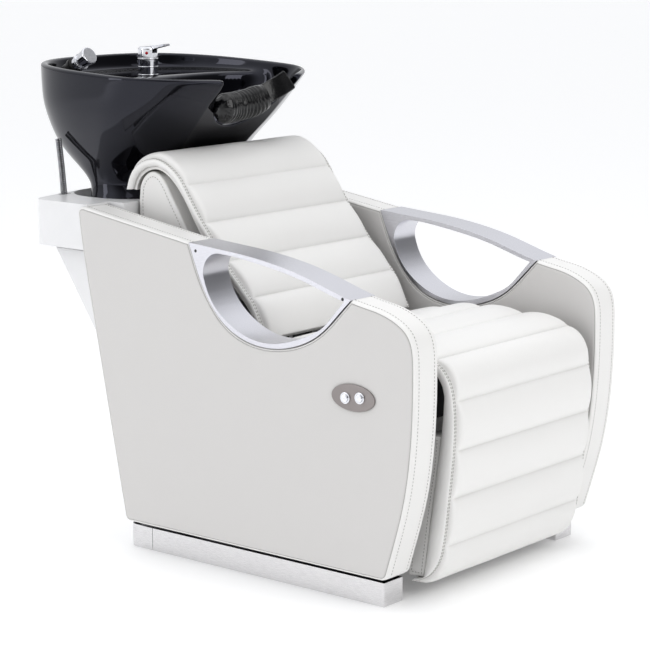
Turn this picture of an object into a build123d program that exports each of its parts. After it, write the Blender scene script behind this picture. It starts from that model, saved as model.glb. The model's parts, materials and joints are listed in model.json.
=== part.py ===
"""Salon backwash unit: upholstered chair with electric leg rest and a tilting ceramic basin.

Frame: millimetres, +Z up, floor at Z = 0, the client faces -Y, the origin is the centre of the
four floor bolts. X is the width, and the unit is symmetric about X = 0 apart from its fittings.
"""
from build123d import *
from math import cos, radians, sin, tan
import os

os.makedirs("parts", exist_ok=True)

# ---- driving dimensions ------------------------------------------------------------------
SIDE_OUT = 340.0          # outer face of a side panel
SIDE_IN = 266.0           # inner face of a side panel
SIDE_SKIN = 8.0           # foam and vinyl over the plywood core
SIDE_BOTTOM = 58.0
CORE_POCKET = 49.0        # depth of the lightening pockets in the plywood core

NOTCH_BACK = (12, 649)    # ends of the armrest's notch, Y and Z
NOTCH_TIP = (-391, 579)
ARM_SCREWS = ((-6, 634), (-372, 579.5))    # Y and Z of the armrest's fixing screws
ARM_SCREW_R = 3.0
ARM_SCREW_LENGTH = 14.0

PLINTH_OUT = 317.0
PLINTH_IN = 262.0
PLINTH_FRONT = -454.0
PLINTH_SEAM = 141.0
PLINTH_BACK = 208.0
PLINTH_SHEET = 1.5

TUBE = 40.0               # rail tube, square
TUBE_WALL = 3.0
PAD_THICK = 6.0           # floor plates and rubber foot pads
BOLT_X = 400.0            # floor bolt spacing
BOLT_Y = 320.0
BOLT_R = 6.5

PAD_HALF = 234.0          # half width of the quilted pads
BOX_HALF = 225.0          # half width of the boards and boxes under them

KNEE_Y = -470.0           # leg rest hinge
KNEE_Z = 395.0
KNEE_R = 88.0             # outer radius of the cushion over the knee
KNEE_INNER = 54.0         # inner radius of the same
SHAFT_R = 8.0
RUN_CLEAR = 0.05          # radial clearance of every running fit
LIFT_MAX = 75.0           # degrees of leg rest travel
EAR_X = (218.0, 224.0)    # inner and outer faces of the seat frame's ears
ARM_X = (207.0, 213.0)    # inner and outer faces of the leg rest's arms
SHAFT_SPAN = EAR_X[1] + 1.0
SEAT_TOP = 400.0          # top of the seat frame
SEAT_BACK = -70.0

# Front and rear edges of the leg rest's upholstered box, Y and Z
LEG_FRONT = ((-516, 320), (-509, 256), (-495, 164), (-479, 40))
LEG_REAR = ((-440, 40), (-452, 164), (-466, 256), (-476, 318))

ACT_DROP = 60.0           # actuator axis below the knee hinge
ACT_Z = KNEE_Z - ACT_DROP
ACT_STROKE_HALF = ACT_DROP * tan(radians(LIFT_MAX / 2))
ACT_PIN_Y = KNEE_Y + ACT_STROKE_HALF
ROD_R = 9.0
CLEVIS_PIN_R = 5.0
LEVER_SLOT = 17.0
ACT_FRONT_Y = ACT_PIN_Y + 62
ACT_TUBE = 190.0
GEARBOX = 58.0
ACT_POST_Y = ACT_FRONT_Y + ACT_TUBE + GEARBOX + 22

# Side profile of the backrest pad's stitched edge: Y, Z and the direction of travel in degrees
BACK_LINE = ((-94, 455, 63), (-58, 521, 52), (1, 582, 49), (79, 676, 53),
             (136, 755, 49), (200, 789, 0), (262, 765, -52), (283, 723, -84))
BACK_CROWN = -12.0        # depths from that line: the pad's crown, its back and the board's back
BACK_PAD = 15.0
BACK_BOARD = 22.5
RAIL_X = (140.0, 160.0)   # inner and outer faces of the backrest rails
HUMP_FRONT = ((131, 662), (169, 722), (190, 751), (214, 762), (238, 751), (252, 728))
HUMP_BACK_Y = 255.0
HUMP_BOTTOM = 575.0

COVER_TOP = 697.0         # moulded rear cover
COVER_BOTTOM = 603.0
COVER_WALL = 4.0
PLATFORM_Z = 600.0        # top of the rear frame under the basin's pedestal
HOUSING_HALF = 300.0
HOUSING_TOP = (424, 596)
HOUSING_LOW = (258, 354)
HOUSING_SHEET = 4.0
INLET_PLANE = Plane(origin=(150, 216.5, 180), x_dir=(1, 0, 0), z_dir=(0, 0.983, -0.181))

# Basin sections from the top down: Z, front edge, half width of the front edge, greatest half
# width, Y of the greatest width, back edge
BASIN_SECTIONS = ((976, 75, 116, 266, 300, 621), (885, 162, 120, 262, 335, 612),
                  (808, 238, 106, 229, 372, 584), (756, 289, 100, 203, 388, 533),
                  (716, 314, 104, 196, 390, 472), (684, 292, 108, 206, 387, 466))
BOWL_SECTIONS = ((976, 92, 106, 250, 270, 400), (880, 184, 104, 236, 300, 398),
                 (803, 270, 60, 150, 325, 394))
BASIN_WALL = 13.0
BOWL_FLOOR = 12.0         # thickness of the bowl's floor and of the tap deck
DECK_FRONT = 418.0        # front of the hollow under the tap deck
POCKET_FRONT = 330.0      # front of the recess above the tap deck
FLANK_POWER = 2.4         # shapes of the sections' flanks and rear corners
REAR_POWER = 2.9
RIM_PLANE = Plane(origin=(0, 104, 945), x_dir=(1, 0, 0), z_dir=(0, -0.0446, 0.999))
NOTCH_HALF = 118.0        # neck notch, half of an ellipse hanging from NOTCH_TOP
NOTCH_DEPTH = 114.0
NOTCH_TOP = 956.0

TILT_Y = 380.0            # basin tilt hinge
TILT_Z = 672.0
TILT_PIN_R = 8.0
WASTE_Y = 345.0
WASTE_R = 20.0
TAIL_Z = 652.0            # lower end of the basin's waste tail
SLEEVE_Z = 636.0          # top of the waste pipe, inside its sleeve
DECK_Z = 932.0            # tap deck inside the basin's rim
TAP_X = 0.0
TAP_Y = 440.0
TAP_R = 21.5
SHANK_R = 15.0
SPIGOT_R = 13.0
CAP_Z = DECK_Z + 40       # underside and top of the mixer's turning cap
CAP_TOP = DECK_Z + 62

HAND_X = -128.0           # hand shower seat on the deck
HAND_Y = 545.0
HAND_Z = 949.0
HAND_TILT = 28.0          # degrees above the deck
HAND_SEAT_R = 15.0
HAND_TAIL_R = 11.0
HAND_PLANE = Plane(origin=(HAND_X, HAND_Y, HAND_Z), x_dir=(1, 0, 0),
                   z_dir=(0, -cos(radians(HAND_TILT)), sin(radians(HAND_TILT))))

HOSE_R = 3.6
HOSE_X = -234.0           # middle of the pair of supply hoses
# Y and Z of the hoses' route and how far each hose lies from the middle
HOSE_ROUTE = ((478.0, 812.0, 4.0), (471.0, 765.0, 4.1), (466.0, 715.0, 4.3),
              (462.0, 668.0, 5.5), (456.0, 634.0, 8.5))

PLATE_Y = -399.0          # control plate on the left side panel
PLATE_Z = 398.0
BUTTON_GAP = 34.0
BUTTON_R = 8.0
BUTTON_TRAVEL = 2.5


def save(piece, name):
    """Labels a finished piece and writes its STEP file."""
    piece.part.label = name
    export_step(piece.part, f"parts/{name}.step")


def side_plane(x):
    """Plane whose local x is +Y and local y is +Z, at that X."""
    return Plane(origin=(x, 0, 0), x_dir=(0, 1, 0), z_dir=(1, 0, 0))


def between(x_low, x_high):
    """Start plane and length of an extrusion along X."""
    return side_plane(x_low), x_high - x_low


# ---- base --------------------------------------------------------------------------------
def base_frame():
    rail_x = (PLINTH_IN + PLINTH_OUT) / 2
    rail_front, rail_back = -440.0, 185.0
    rail_mid = (rail_front + rail_back) / 2
    cross_y = (-330.0, -BOLT_Y / 2, ACT_POST_Y, BOLT_Y / 2)
    with BuildPart() as frame:
        with BuildSketch(Plane.XY.offset(PAD_THICK)) as rails:
            with Locations((-rail_x, rail_mid), (rail_x, rail_mid)):
                Rectangle(TUBE, rail_back - rail_front)
        extrude(amount=TUBE)
        with BuildSketch(Plane.XY.offset(PAD_THICK)) as bars:
            with Locations(*[(0, y) for y in cross_y]):
                Rectangle(2 * rail_x, TUBE)
        extrude(amount=TUBE)
        with BuildSketch(Plane.XZ.offset(-rail_back)) as rail_bores:
            with Locations((-rail_x, PAD_THICK + TUBE / 2), (rail_x, PAD_THICK + TUBE / 2)):
                Rectangle(TUBE - 2 * TUBE_WALL, TUBE - 2 * TUBE_WALL)
        extrude(amount=rail_back - rail_front, mode=Mode.SUBTRACT)
        with BuildSketch(Plane.YZ.offset(-rail_x)) as bar_bores:
            with Locations(*[(y, PAD_THICK + TUBE / 2) for y in cross_y]):
                Rectangle(TUBE - 2 * TUBE_WALL, TUBE - 2 * TUBE_WALL)
        extrude(amount=2 * rail_x, mode=Mode.SUBTRACT)
        with BuildSketch(Plane.XY) as plates:
            with GridLocations(BOLT_X, BOLT_Y, 2, 2):
                Rectangle(90, 90)
        extrude(amount=PAD_THICK)
        with BuildSketch(Plane.XY) as access:
            with GridLocations(BOLT_X, BOLT_Y, 2, 2):
                Circle(BOLT_R)
        extrude(amount=PAD_THICK + TUBE, mode=Mode.SUBTRACT)
    save(frame, "base_frame")


def foot_pads():
    rail_x = (PLINTH_IN + PLINTH_OUT) / 2
    with BuildPart() as pads:
        with BuildSketch(Plane.XY) as outline:
            with GridLocations(2 * rail_x, 500, 2, 2):
                with Locations((0, -125)):
                    Circle(18)
        extrude(amount=PAD_THICK)
    save(pads, "foot_pads")


def plinths():
    height = SIDE_BOTTOM - 11
    for name, side in (("left", -1), ("right", 1)):
        with BuildPart() as skirt:
            with BuildSketch(Plane.XY) as ring:
                with BuildLine() as outer:
                    Polyline(
                        (side * PLINTH_IN, PLINTH_FRONT + 60),
                        (side * PLINTH_IN, PLINTH_FRONT),
                        (side * PLINTH_OUT, PLINTH_FRONT),
                        (side * PLINTH_OUT, PLINTH_SEAM - 0.5),
                    )
                    offset(amount=PLINTH_SHEET, side=Side.LEFT if side < 0 else Side.RIGHT)
                make_face()
            extrude(amount=height)
        save(skirt, f"plinth_{name}")
        with BuildPart() as end:
            with BuildSketch(Plane.XY) as strip:
                with BuildLine() as bend:
                    FilletPolyline(
                        (side * PLINTH_OUT, PLINTH_SEAM + 0.5),
                        (side * PLINTH_OUT, PLINTH_BACK),
                        (side * (PLINTH_OUT - 90), PLINTH_BACK),
                        radius=22,
                    )
                    offset(amount=PLINTH_SHEET, side=Side.LEFT if side < 0 else Side.RIGHT)
                make_face()
            extrude(amount=height)
        save(end, f"plinth_end_{name}")


# ---- side panels and armrests ------------------------------------------------------------
def panel_outline():
    """Side panel seen from the side: back, bottom and front edges, then the armrest notch."""
    with BuildLine() as line:
        Polyline(NOTCH_BACK, (300, 693))
        ThreePointArc((300, 693), (314, 689), (317, 674))
        Spline((317, 674), (279, 463), (199, 72), tangents=((-0.12, -1), (-0.21, -1)))
        ThreePointArc((199, 72), (194, 61), (181, SIDE_BOTTOM))
        Line((181, SIDE_BOTTOM), (-462, SIDE_BOTTOM))
        ThreePointArc((-462, SIDE_BOTTOM), (-473, 62), (-480, 74))
        Spline((-480, 74), (-518, 206), (-539, 400), (-539, 470), tangents=((-0.3, 1), (0.02, 1)))
        Spline((-539, 470), (-519, 537), (-460, 566), NOTCH_TIP, tangents=((0, 1), (0.98, 0.2)))
        Spline(NOTCH_TIP, (-312, 503), (-193, 465), (-74, 502), (-16, 581), NOTCH_BACK,
               tangents=((0.72, -0.69), (0.38, 0.92)))
    return line


def core_outline():
    """Plywood core inside the panel, set in from its edges by the foam's thickness."""
    with BuildLine() as line:
        Polyline((24, 638), (300, 680), (262, 463), (186, 74), (186, SIDE_BOTTOM),
                 (-456, SIDE_BOTTOM), (-470, 84), (-508, 206), (-529, 400), (-528, 470),
                 (-508, 527), (-456, 554), (-402, 562))
        Spline((-402, 562), (-322, 492), (-193, 453), (-64, 492), (-5, 575), (24, 638),
               tangents=((0.72, -0.69), (0.38, 0.92)))
    return line


def side_panels():
    for name, side in (("left", -1), ("right", 1)):
        low, high = sorted((side * SIDE_IN, side * SIDE_OUT))
        with BuildPart() as core:
            plane, length = between(low + SIDE_SKIN, high - SIDE_SKIN)
            with BuildSketch(plane) as shape:
                make_face(core_outline().edges())
            extrude(amount=length)
            inner = side_plane(side * (SIDE_IN + SIDE_SKIN))
            with BuildSketch(inner) as pockets:
                with Locations((-310, 265)):
                    Rectangle(260, 320)
                with Locations((10, 250)):
                    Rectangle(280, 290)
            extrude(amount=side * CORE_POCKET, mode=Mode.SUBTRACT)
        save(core, f"side_core_{name}")
        with BuildPart() as cover:
            plane, length = between(low, high)
            with BuildSketch(plane) as shape:
                make_face(panel_outline().edges())
            extrude(amount=length)
            add(core.part, mode=Mode.SUBTRACT)
            if side < 0:
                with BuildSketch(side_plane(low)) as wire_holes:
                    with Locations((PLATE_Y, PLATE_Z)):
                        Ellipse(40, 15)
                extrude(amount=SIDE_SKIN, mode=Mode.SUBTRACT)
        save(cover, f"side_cover_{name}")


def arm_loop():
    """Outer outline of the armrest: its top edge, then the notch's curve back to the start."""
    with BuildLine() as line:
        Spline(NOTCH_TIP, (-285, 610), (-147, 636), (-72, 643), NOTCH_BACK,
               tangents=((0.97, 0.24), (1, 0.08)))
        Spline(NOTCH_BACK, (-16, 581), (-74, 502), (-193, 465), (-312, 503), NOTCH_TIP,
               tangents=((-0.38, -0.92), (-0.72, 0.69)))
    return line


def armrests():
    for name, side in (("left", -1), ("right", 1)):
        low, high = sorted((side * SIDE_IN, side * SIDE_OUT))
        plane, length = between(low, high)
        with BuildPart() as loop:
            with BuildSketch(plane) as shape:
                make_face(arm_loop().edges())
                with BuildLine() as inside:
                    Spline((-375, 575), (-285, 601), (-147, 627), (-72, 634),
                           tangents=((0.97, 0.22), (1, 0.02)))
                    ThreePointArc((-72, 634), (-34, 619), (-28, 579))
                    Spline((-28, 579), (-80, 508), (-193, 474), (-308, 510), (-375, 575),
                           tangents=((-0.3, -1), (-0.66, 0.75)))
                make_face(mode=Mode.SUBTRACT)
            extrude(amount=length)
            with BuildSketch(side_plane(side * SIDE_OUT)) as head_holes:
                with Locations(*ARM_SCREWS):
                    Circle(ARM_SCREW_R)
            extrude(amount=-side * ARM_SCREW_LENGTH, mode=Mode.SUBTRACT)
        save(loop, f"armrest_{name}")
    with BuildPart() as screws:
        for side in (-1, 1):
            with BuildSketch(side_plane(side * SIDE_OUT)) as shanks:
                with Locations(*ARM_SCREWS):
                    Circle(ARM_SCREW_R)
            extrude(amount=-side * ARM_SCREW_LENGTH)
    save(screws, "armrest_screws")


# ---- seat, knee and leg rest -------------------------------------------------------------
def seat_frame():
    """Welded seat frame on four legs, with the two ears that hold the leg rest's shaft."""
    half, front = 200.0, -395.0
    length = SEAT_BACK - front
    with BuildPart() as frame:
        with BuildSketch(Plane.XY.offset(SEAT_TOP - 25)) as ring:
            with Locations((0, (front + SEAT_BACK) / 2)):
                Rectangle(2 * half, length)
                Rectangle(2 * half - 50, length - 50, mode=Mode.SUBTRACT)
        extrude(amount=25)
        with BuildSketch(Plane.XY.offset(PAD_THICK + TUBE)) as legs:
            with Locations(*[(x, y) for x in (-187.5, 187.5) for y in (-330, -BOLT_Y / 2)]):
                Rectangle(25, 25)
        extrude(amount=SEAT_TOP - 25 - PAD_THICK - TUBE)
        for low, high in (EAR_X, (-EAR_X[1], -EAR_X[0])):
            plane, thick = between(low, high)
            with BuildSketch(plane) as ear:
                with Locations((KNEE_Y, KNEE_Z)):
                    Circle(20)
                with Locations(((KNEE_Y + front + 60) / 2, KNEE_Z - 15)):
                    Rectangle(front + 60 - KNEE_Y, 26)
                with Locations((KNEE_Y, KNEE_Z)):
                    Circle(SHAFT_R + 4, mode=Mode.SUBTRACT)
            extrude(amount=thick)
        with BuildSketch(Plane.XY.offset(SEAT_TOP - 25)) as ear_tabs:
            with Locations(*[(x, front + 35) for x in (-210, 210)]):
                Rectangle(20, 40)
        extrude(amount=15)
    save(frame, "seat_frame")
    with BuildPart() as bushes:
        for low, high in (EAR_X, (-EAR_X[1], -EAR_X[0])):
            plane, thick = between(low, high)
            with BuildSketch(plane) as ring:
                with Locations((KNEE_Y, KNEE_Z)):
                    Circle(SHAFT_R + 4)
                    Circle(SHAFT_R + RUN_CLEAR, mode=Mode.SUBTRACT)
            extrude(amount=thick)
    save(bushes, "knee_bushes")


def knee_point(radius, angle):
    """Point at that distance from the knee hinge, at an angle in degrees from +Y."""
    return (KNEE_Y + radius * cos(radians(angle)), KNEE_Z + radius * sin(radians(angle)))


def seat():
    with BuildPart() as board:
        with BuildSketch(Plane.XY.offset(SEAT_TOP)) as sheet:
            with Locations((0, -250)):
                Rectangle(2 * BOX_HALF, 320)
        extrude(amount=15)
        fillet(board.edges().filter_by(Axis.Z), 20)
    save(board, "seat_board")
    with BuildPart() as pad:
        plane, length = between(-PAD_HALF, PAD_HALF)
        with BuildSketch(plane) as profile:
            with BuildLine() as outline:
                top, mid, low = (knee_point(KNEE_INNER, a) for a in (102, 80, 58))
                Polyline(top, knee_point(KNEE_R, 102), (-450, 485), (-397, 488),
                         (-315, 489), (-263, 486))
                Spline((-263, 486), (-206, 476), (-140, 458))
                Polyline((-140, 458), (-110, 440), (-110, 415), (-422, 415), low)
                ThreePointArc(low, mid, top)
            make_face()
        extrude(amount=length)
        top_edges = pad.edges().filter_by(Plane.YZ).group_by(Axis.X)
        ends = top_edges[0] + top_edges[-1]
        fillet(ends.filter_by(lambda e: e.center().Z > 480 and e.center().Y > -430), 10)
    save(pad, "seat_pad")


def knee_cushion():
    """Cushion over the knee, a sector round the leg rest's hinge that bends as the leg rest lifts."""
    with BuildPart() as cushion:
        plane, length = between(-PAD_HALF, PAD_HALF)
        start, mid, end = 103, 141, 179
        with BuildSketch(plane) as sector:
            with BuildLine() as outline:
                ThreePointArc(*[knee_point(KNEE_R, a) for a in (start, mid, end)])
                Line(knee_point(KNEE_R, end), knee_point(KNEE_INNER, end))
                ThreePointArc(*[knee_point(KNEE_INNER, a) for a in (end, mid, start)])
                Line(knee_point(KNEE_INNER, start), knee_point(KNEE_R, start))
            make_face()
        extrude(amount=length)
    save(cushion, "knee_cushion")


def leg_rest():
    plane, length = between(-SHAFT_SPAN, SHAFT_SPAN)
    lever_plane, lever_thick = between(-5, 5)
    reach = ACT_DROP / cos(radians(LIFT_MAX / 2))
    blade_end = reach + 16
    with BuildPart() as shaft:
        with BuildSketch(plane) as bar:
            with Locations((KNEE_Y, KNEE_Z)):
                Circle(SHAFT_R)
        extrude(amount=length)
        with BuildSketch(lever_plane) as blade:
            with Locations((KNEE_Y, KNEE_Z)):
                Circle(17)
                with Locations(Rotation(0, 0, 270 + LIFT_MAX / 2)):
                    with Locations((blade_end / 2, 0)):
                        Rectangle(blade_end, 34)
                    with Locations(((ACT_DROP + reach) / 2, 0)):
                        SlotCenterToCenter(reach - ACT_DROP, LEVER_SLOT, mode=Mode.SUBTRACT)
        extrude(amount=lever_thick)
    save(shaft, "knee_shaft")

    with BuildPart() as roller:
        for low, high in ((16, ARM_X[0] - 1), (1 - ARM_X[0], -16)):
            roll_plane, roll_length = between(low, high)
            with BuildSketch(roll_plane) as ring:
                with Locations((KNEE_Y, KNEE_Z)):
                    Circle(KNEE_INNER - 4)
                    Circle(SHAFT_R, mode=Mode.SUBTRACT)
            extrude(amount=roll_length)
    save(roller, "knee_roller")

    with BuildPart() as arms:
        for low, high in (ARM_X, (-ARM_X[1], -ARM_X[0])):
            arm_plane, thick = between(low, high)
            with BuildSketch(arm_plane) as side:
                with BuildLine() as outline:
                    Polyline((KNEE_Y - 18, KNEE_Z), (-479, 332), (-475, 319),
                             (-465.5, 256), (-451.5, 164), (-446, 112), (-420, 112), (-424, 164),
                             (-438, 256), (-450, 330), (KNEE_Y + 18, KNEE_Z), close=True)
                make_face()
                with Locations((KNEE_Y, KNEE_Z)):
                    Circle(18)
                    Circle(SHAFT_R, mode=Mode.SUBTRACT)
            extrude(amount=thick)
        for z_low, z_high, y_face in ((130, 160, -422), (250, 280, -436)):
            with BuildSketch(Plane.XY.offset(z_low)) as strap:
                with Locations((0, y_face - 4)):
                    Rectangle(2 * ARM_X[0], 8)
            extrude(amount=z_high - z_low)
    save(arms, "leg_arms")

    with BuildPart() as board:
        board_plane, width = between(-BOX_HALF + 12, BOX_HALF - 12)
        with BuildSketch(board_plane) as shape:
            with BuildLine() as outline:
                Polyline((-500, 308), (-492, 256), (-478, 164), (-464, 52),
                         (-452, 52), (-464, 164), (-478, 256), (-486, 308), close=True)
            make_face()
        extrude(amount=width)
    save(board, "leg_board")

    with BuildPart() as cover:
        cover_plane, width = between(-BOX_HALF, BOX_HALF)
        with BuildSketch(cover_plane) as shape:
            with BuildLine() as outline:
                Polyline(*LEG_FRONT, *LEG_REAR, close=True)
            make_face()
        extrude(amount=width)
        add(board.part, mode=Mode.SUBTRACT)
    save(cover, "leg_cover")

    with BuildPart() as pad:
        pad_plane, width = between(-PAD_HALF, PAD_HALF)
        with BuildSketch(pad_plane) as profile:
            with BuildLine() as outline:
                Line((KNEE_Y - KNEE_INNER, KNEE_Z - 2), (KNEE_Y - KNEE_R, KNEE_Z - 2))
                Spline((KNEE_Y - KNEE_R, KNEE_Z - 2), (-565, 304), (-554, 205), (-533, 80),
                       (-507, 42), (-459, 16), tangents=((-0.1, -1), (1, -0.25)))
                Polyline((-459, 16), (-438, 22), (-440, 39.5), (-479.5, 39.5), (-495.5, 164),
                         (-509.5, 256), (-517, 320), (KNEE_Y - KNEE_INNER, KNEE_Z - 2))
            make_face()
        extrude(amount=width)
    save(pad, "leg_pad")


# ---- leg rest drive ----------------------------------------------------------------------
def actuator():
    body_back = ACT_FRONT_Y + ACT_TUBE
    with BuildPart() as housing:
        with BuildSketch(Plane.XZ.offset(-ACT_FRONT_Y)) as tube:
            with Locations((0, ACT_Z)):
                Circle(22)
        extrude(amount=-ACT_TUBE)
        with BuildSketch(Plane.XZ.offset(-body_back)) as gearbox:
            with Locations((0, ACT_Z - 18)):
                RectangleRounded(62, 88, 12)
        extrude(amount=-GEARBOX)
        with BuildSketch(Plane.XZ.offset(-body_back)) as motor:
            with Locations((0, ACT_Z - 44)):
                Circle(17)
        extrude(amount=95)
        with BuildSketch(Plane.XZ.offset(-ACT_FRONT_Y)) as bore:
            with Locations((0, ACT_Z)):
                Circle(ROD_R + RUN_CLEAR)
        extrude(amount=5 - ACT_TUBE, mode=Mode.SUBTRACT)
    save(housing, "actuator_housing")

    with BuildPart() as rod:
        with BuildSketch(Plane.XZ.offset(-(ACT_PIN_Y + 36))) as bar:
            with Locations((0, ACT_Z)):
                Circle(ROD_R)
        extrude(amount=-190)
        with BuildSketch(Plane.XY.offset(ACT_Z)) as fork:
            with Locations((0, ACT_PIN_Y + 17)):
                Rectangle(26, 60)
            with Locations((0, ACT_PIN_Y + 10)):
                Rectangle(12, 50, mode=Mode.SUBTRACT)
        extrude(amount=9, both=True)
        pin_plane, pin_length = between(-17, 17)
        with BuildSketch(pin_plane) as pin_hole:
            with Locations((ACT_PIN_Y, ACT_Z)):
                Circle(CLEVIS_PIN_R)
        extrude(amount=pin_length, mode=Mode.SUBTRACT)
    save(rod, "actuator_rod")

    with BuildPart() as pin:
        with BuildSketch(pin_plane) as bar:
            with Locations((ACT_PIN_Y, ACT_Z)):
                Circle(CLEVIS_PIN_R)
        extrude(amount=pin_length)
    save(pin, "clevis_pin")

    with BuildPart() as bracket:
        with BuildSketch(Plane.XY.offset(PAD_THICK + TUBE)) as post:
            with Locations((0, ACT_POST_Y)):
                Rectangle(70, TUBE)
                Rectangle(62, TUBE - 8, mode=Mode.SUBTRACT)
        extrude(amount=ACT_Z - PAD_THICK - TUBE + 20)
        with BuildSketch(Plane.XZ.offset(-(body_back + GEARBOX))) as flange:
            with Locations((0, ACT_Z - 18)):
                Rectangle(62, 76)
        extrude(amount=-2)
    save(bracket, "actuator_bracket")

    with BuildPart() as supply:
        with BuildSketch(Plane.XY.offset(PAD_THICK + TUBE)) as case:
            with Locations((120, ACT_POST_Y)):
                RectangleRounded(80, 130, 8)
        extrude(amount=52)
        fillet(supply.faces().sort_by(Axis.Z)[-1].edges(), 5)
    save(supply, "power_supply")


# ---- backrest ----------------------------------------------------------------------------
def back_points(depth, count=len(BACK_LINE)):
    """Points of the backrest profile, moved that far from its edge line towards the frame."""
    points = []
    for y, z, angle in BACK_LINE[:count]:
        turn = radians(angle - 90)
        points.append((y + depth * cos(turn), z + depth * sin(turn)))
    return points


def back_layer(name, outer, inner, half, count=len(BACK_LINE)):
    """One layer of the backrest between two depths, across its width."""
    front = back_points(outer, count)
    rear = back_points(inner, count)
    with BuildPart() as layer:
        plane, length = between(-half, half)
        with BuildSketch(plane) as profile:
            with BuildLine() as outline:
                Spline(*front)
                Line(front[-1], rear[-1])
                Spline(*rear[::-1])
                Line(rear[0], front[0])
            make_face()
        extrude(amount=length)
    save(layer, name)


def backrest():
    back_layer("backrest_pad", BACK_CROWN, BACK_PAD, PAD_HALF + 1)
    back_layer("backrest_board", BACK_PAD, BACK_BOARD, BOX_HALF)
    with BuildPart() as rails:
        near, far = back_points(BACK_BOARD + 0.5, 4), back_points(BACK_BOARD + 13.5, 4)
        for low, high in (RAIL_X, (-RAIL_X[1], -RAIL_X[0])):
            plane, thick = between(low, high)
            with BuildSketch(plane) as profile:
                with BuildLine() as outline:
                    Spline(*near)
                    Line(near[-1], far[-1])
                    Spline(*far[::-1])
                    Polyline(far[0], (-64, SEAT_TOP), (-86, SEAT_TOP), near[0])
                make_face()
            extrude(amount=thick)
    save(rails, "backrest_rails")

    plane, length = between(-BOX_HALF, BOX_HALF)
    with BuildPart() as core:
        with BuildSketch(side_plane(-BOX_HALF + 6)) as profile:
            with BuildLine() as outline:
                Polyline((120, HUMP_BOTTOM), (146, 668), (182, 722), (200, 744), (214, 750),
                         (230, 743), (243, 724), (247, 690), (247, HUMP_BOTTOM), close=True)
            make_face()
        extrude(amount=length - 12)
        with BuildSketch(Plane.XY.offset(HUMP_BOTTOM)) as hollow:
            with Locations((0, 200)):
                Rectangle(2 * BOX_HALF - 50, 64)
        extrude(amount=110, mode=Mode.SUBTRACT)
    save(core, "backrest_core")
    with BuildPart() as cover:
        with BuildSketch(plane) as profile:
            with BuildLine() as outline:
                Spline(*HUMP_FRONT, tangents=((0.5, 0.86), (0.35, -0.94)))
                Polyline(HUMP_FRONT[-1], (HUMP_BACK_Y, 700), (HUMP_BACK_Y, HUMP_BOTTOM),
                         (78, HUMP_BOTTOM), HUMP_FRONT[0])
            make_face()
        extrude(amount=length)
        add(core.part, mode=Mode.SUBTRACT)
        with BuildSketch(Plane.XY.offset(HUMP_BOTTOM)) as open_base:
            with Locations((0, 200)):
                Rectangle(2 * BOX_HALF - 50, 64)
        extrude(amount=110, mode=Mode.SUBTRACT)
    save(cover, "backrest_cover")


# ---- rear cabinet ------------------------------------------------------------------------
def rear_frame():
    with BuildPart() as frame:
        with BuildSketch(Plane.XY.offset(PAD_THICK + TUBE)) as posts:
            with Locations((-180, BOLT_Y / 2), (180, BOLT_Y / 2)):
                Rectangle(30, 30)
        extrude(amount=HUMP_BOTTOM - PAD_THICK - TUBE)
        with BuildSketch(Plane.XY.offset(HUMP_BOTTOM - 30)) as arms:
            with Locations((-180, 265), (180, 265)):
                Rectangle(30, 220)
        extrude(amount=30)
        with BuildSketch(Plane.XY.offset(HUMP_BOTTOM)) as risers:
            with Locations((-180, 330), (180, 330)):
                Rectangle(30, 90)
        extrude(amount=PLATFORM_Z - HUMP_BOTTOM)
        with BuildSketch(Plane.XY.offset(PLATFORM_Z)) as platform:
            with Locations((0, 350)):
                Rectangle(420, 150)
            with Locations((0, WASTE_Y)):
                Circle(28, mode=Mode.SUBTRACT)
        extrude(amount=6)
        with BuildSketch(Plane.XY.offset(300)) as brace:
            with Locations((0, BOLT_Y / 2 + 7)):
                Rectangle(330, 16)
        extrude(amount=30)
    save(frame, "rear_frame")


def inlet_block(height, width):
    """Body of the mains inlet, standing on the lower rear panel's plane."""
    with BuildPart() as block:
        with BuildSketch(INLET_PLANE) as face:
            Rectangle(width, 20)
        extrude(amount=-height)
    return block.part


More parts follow.
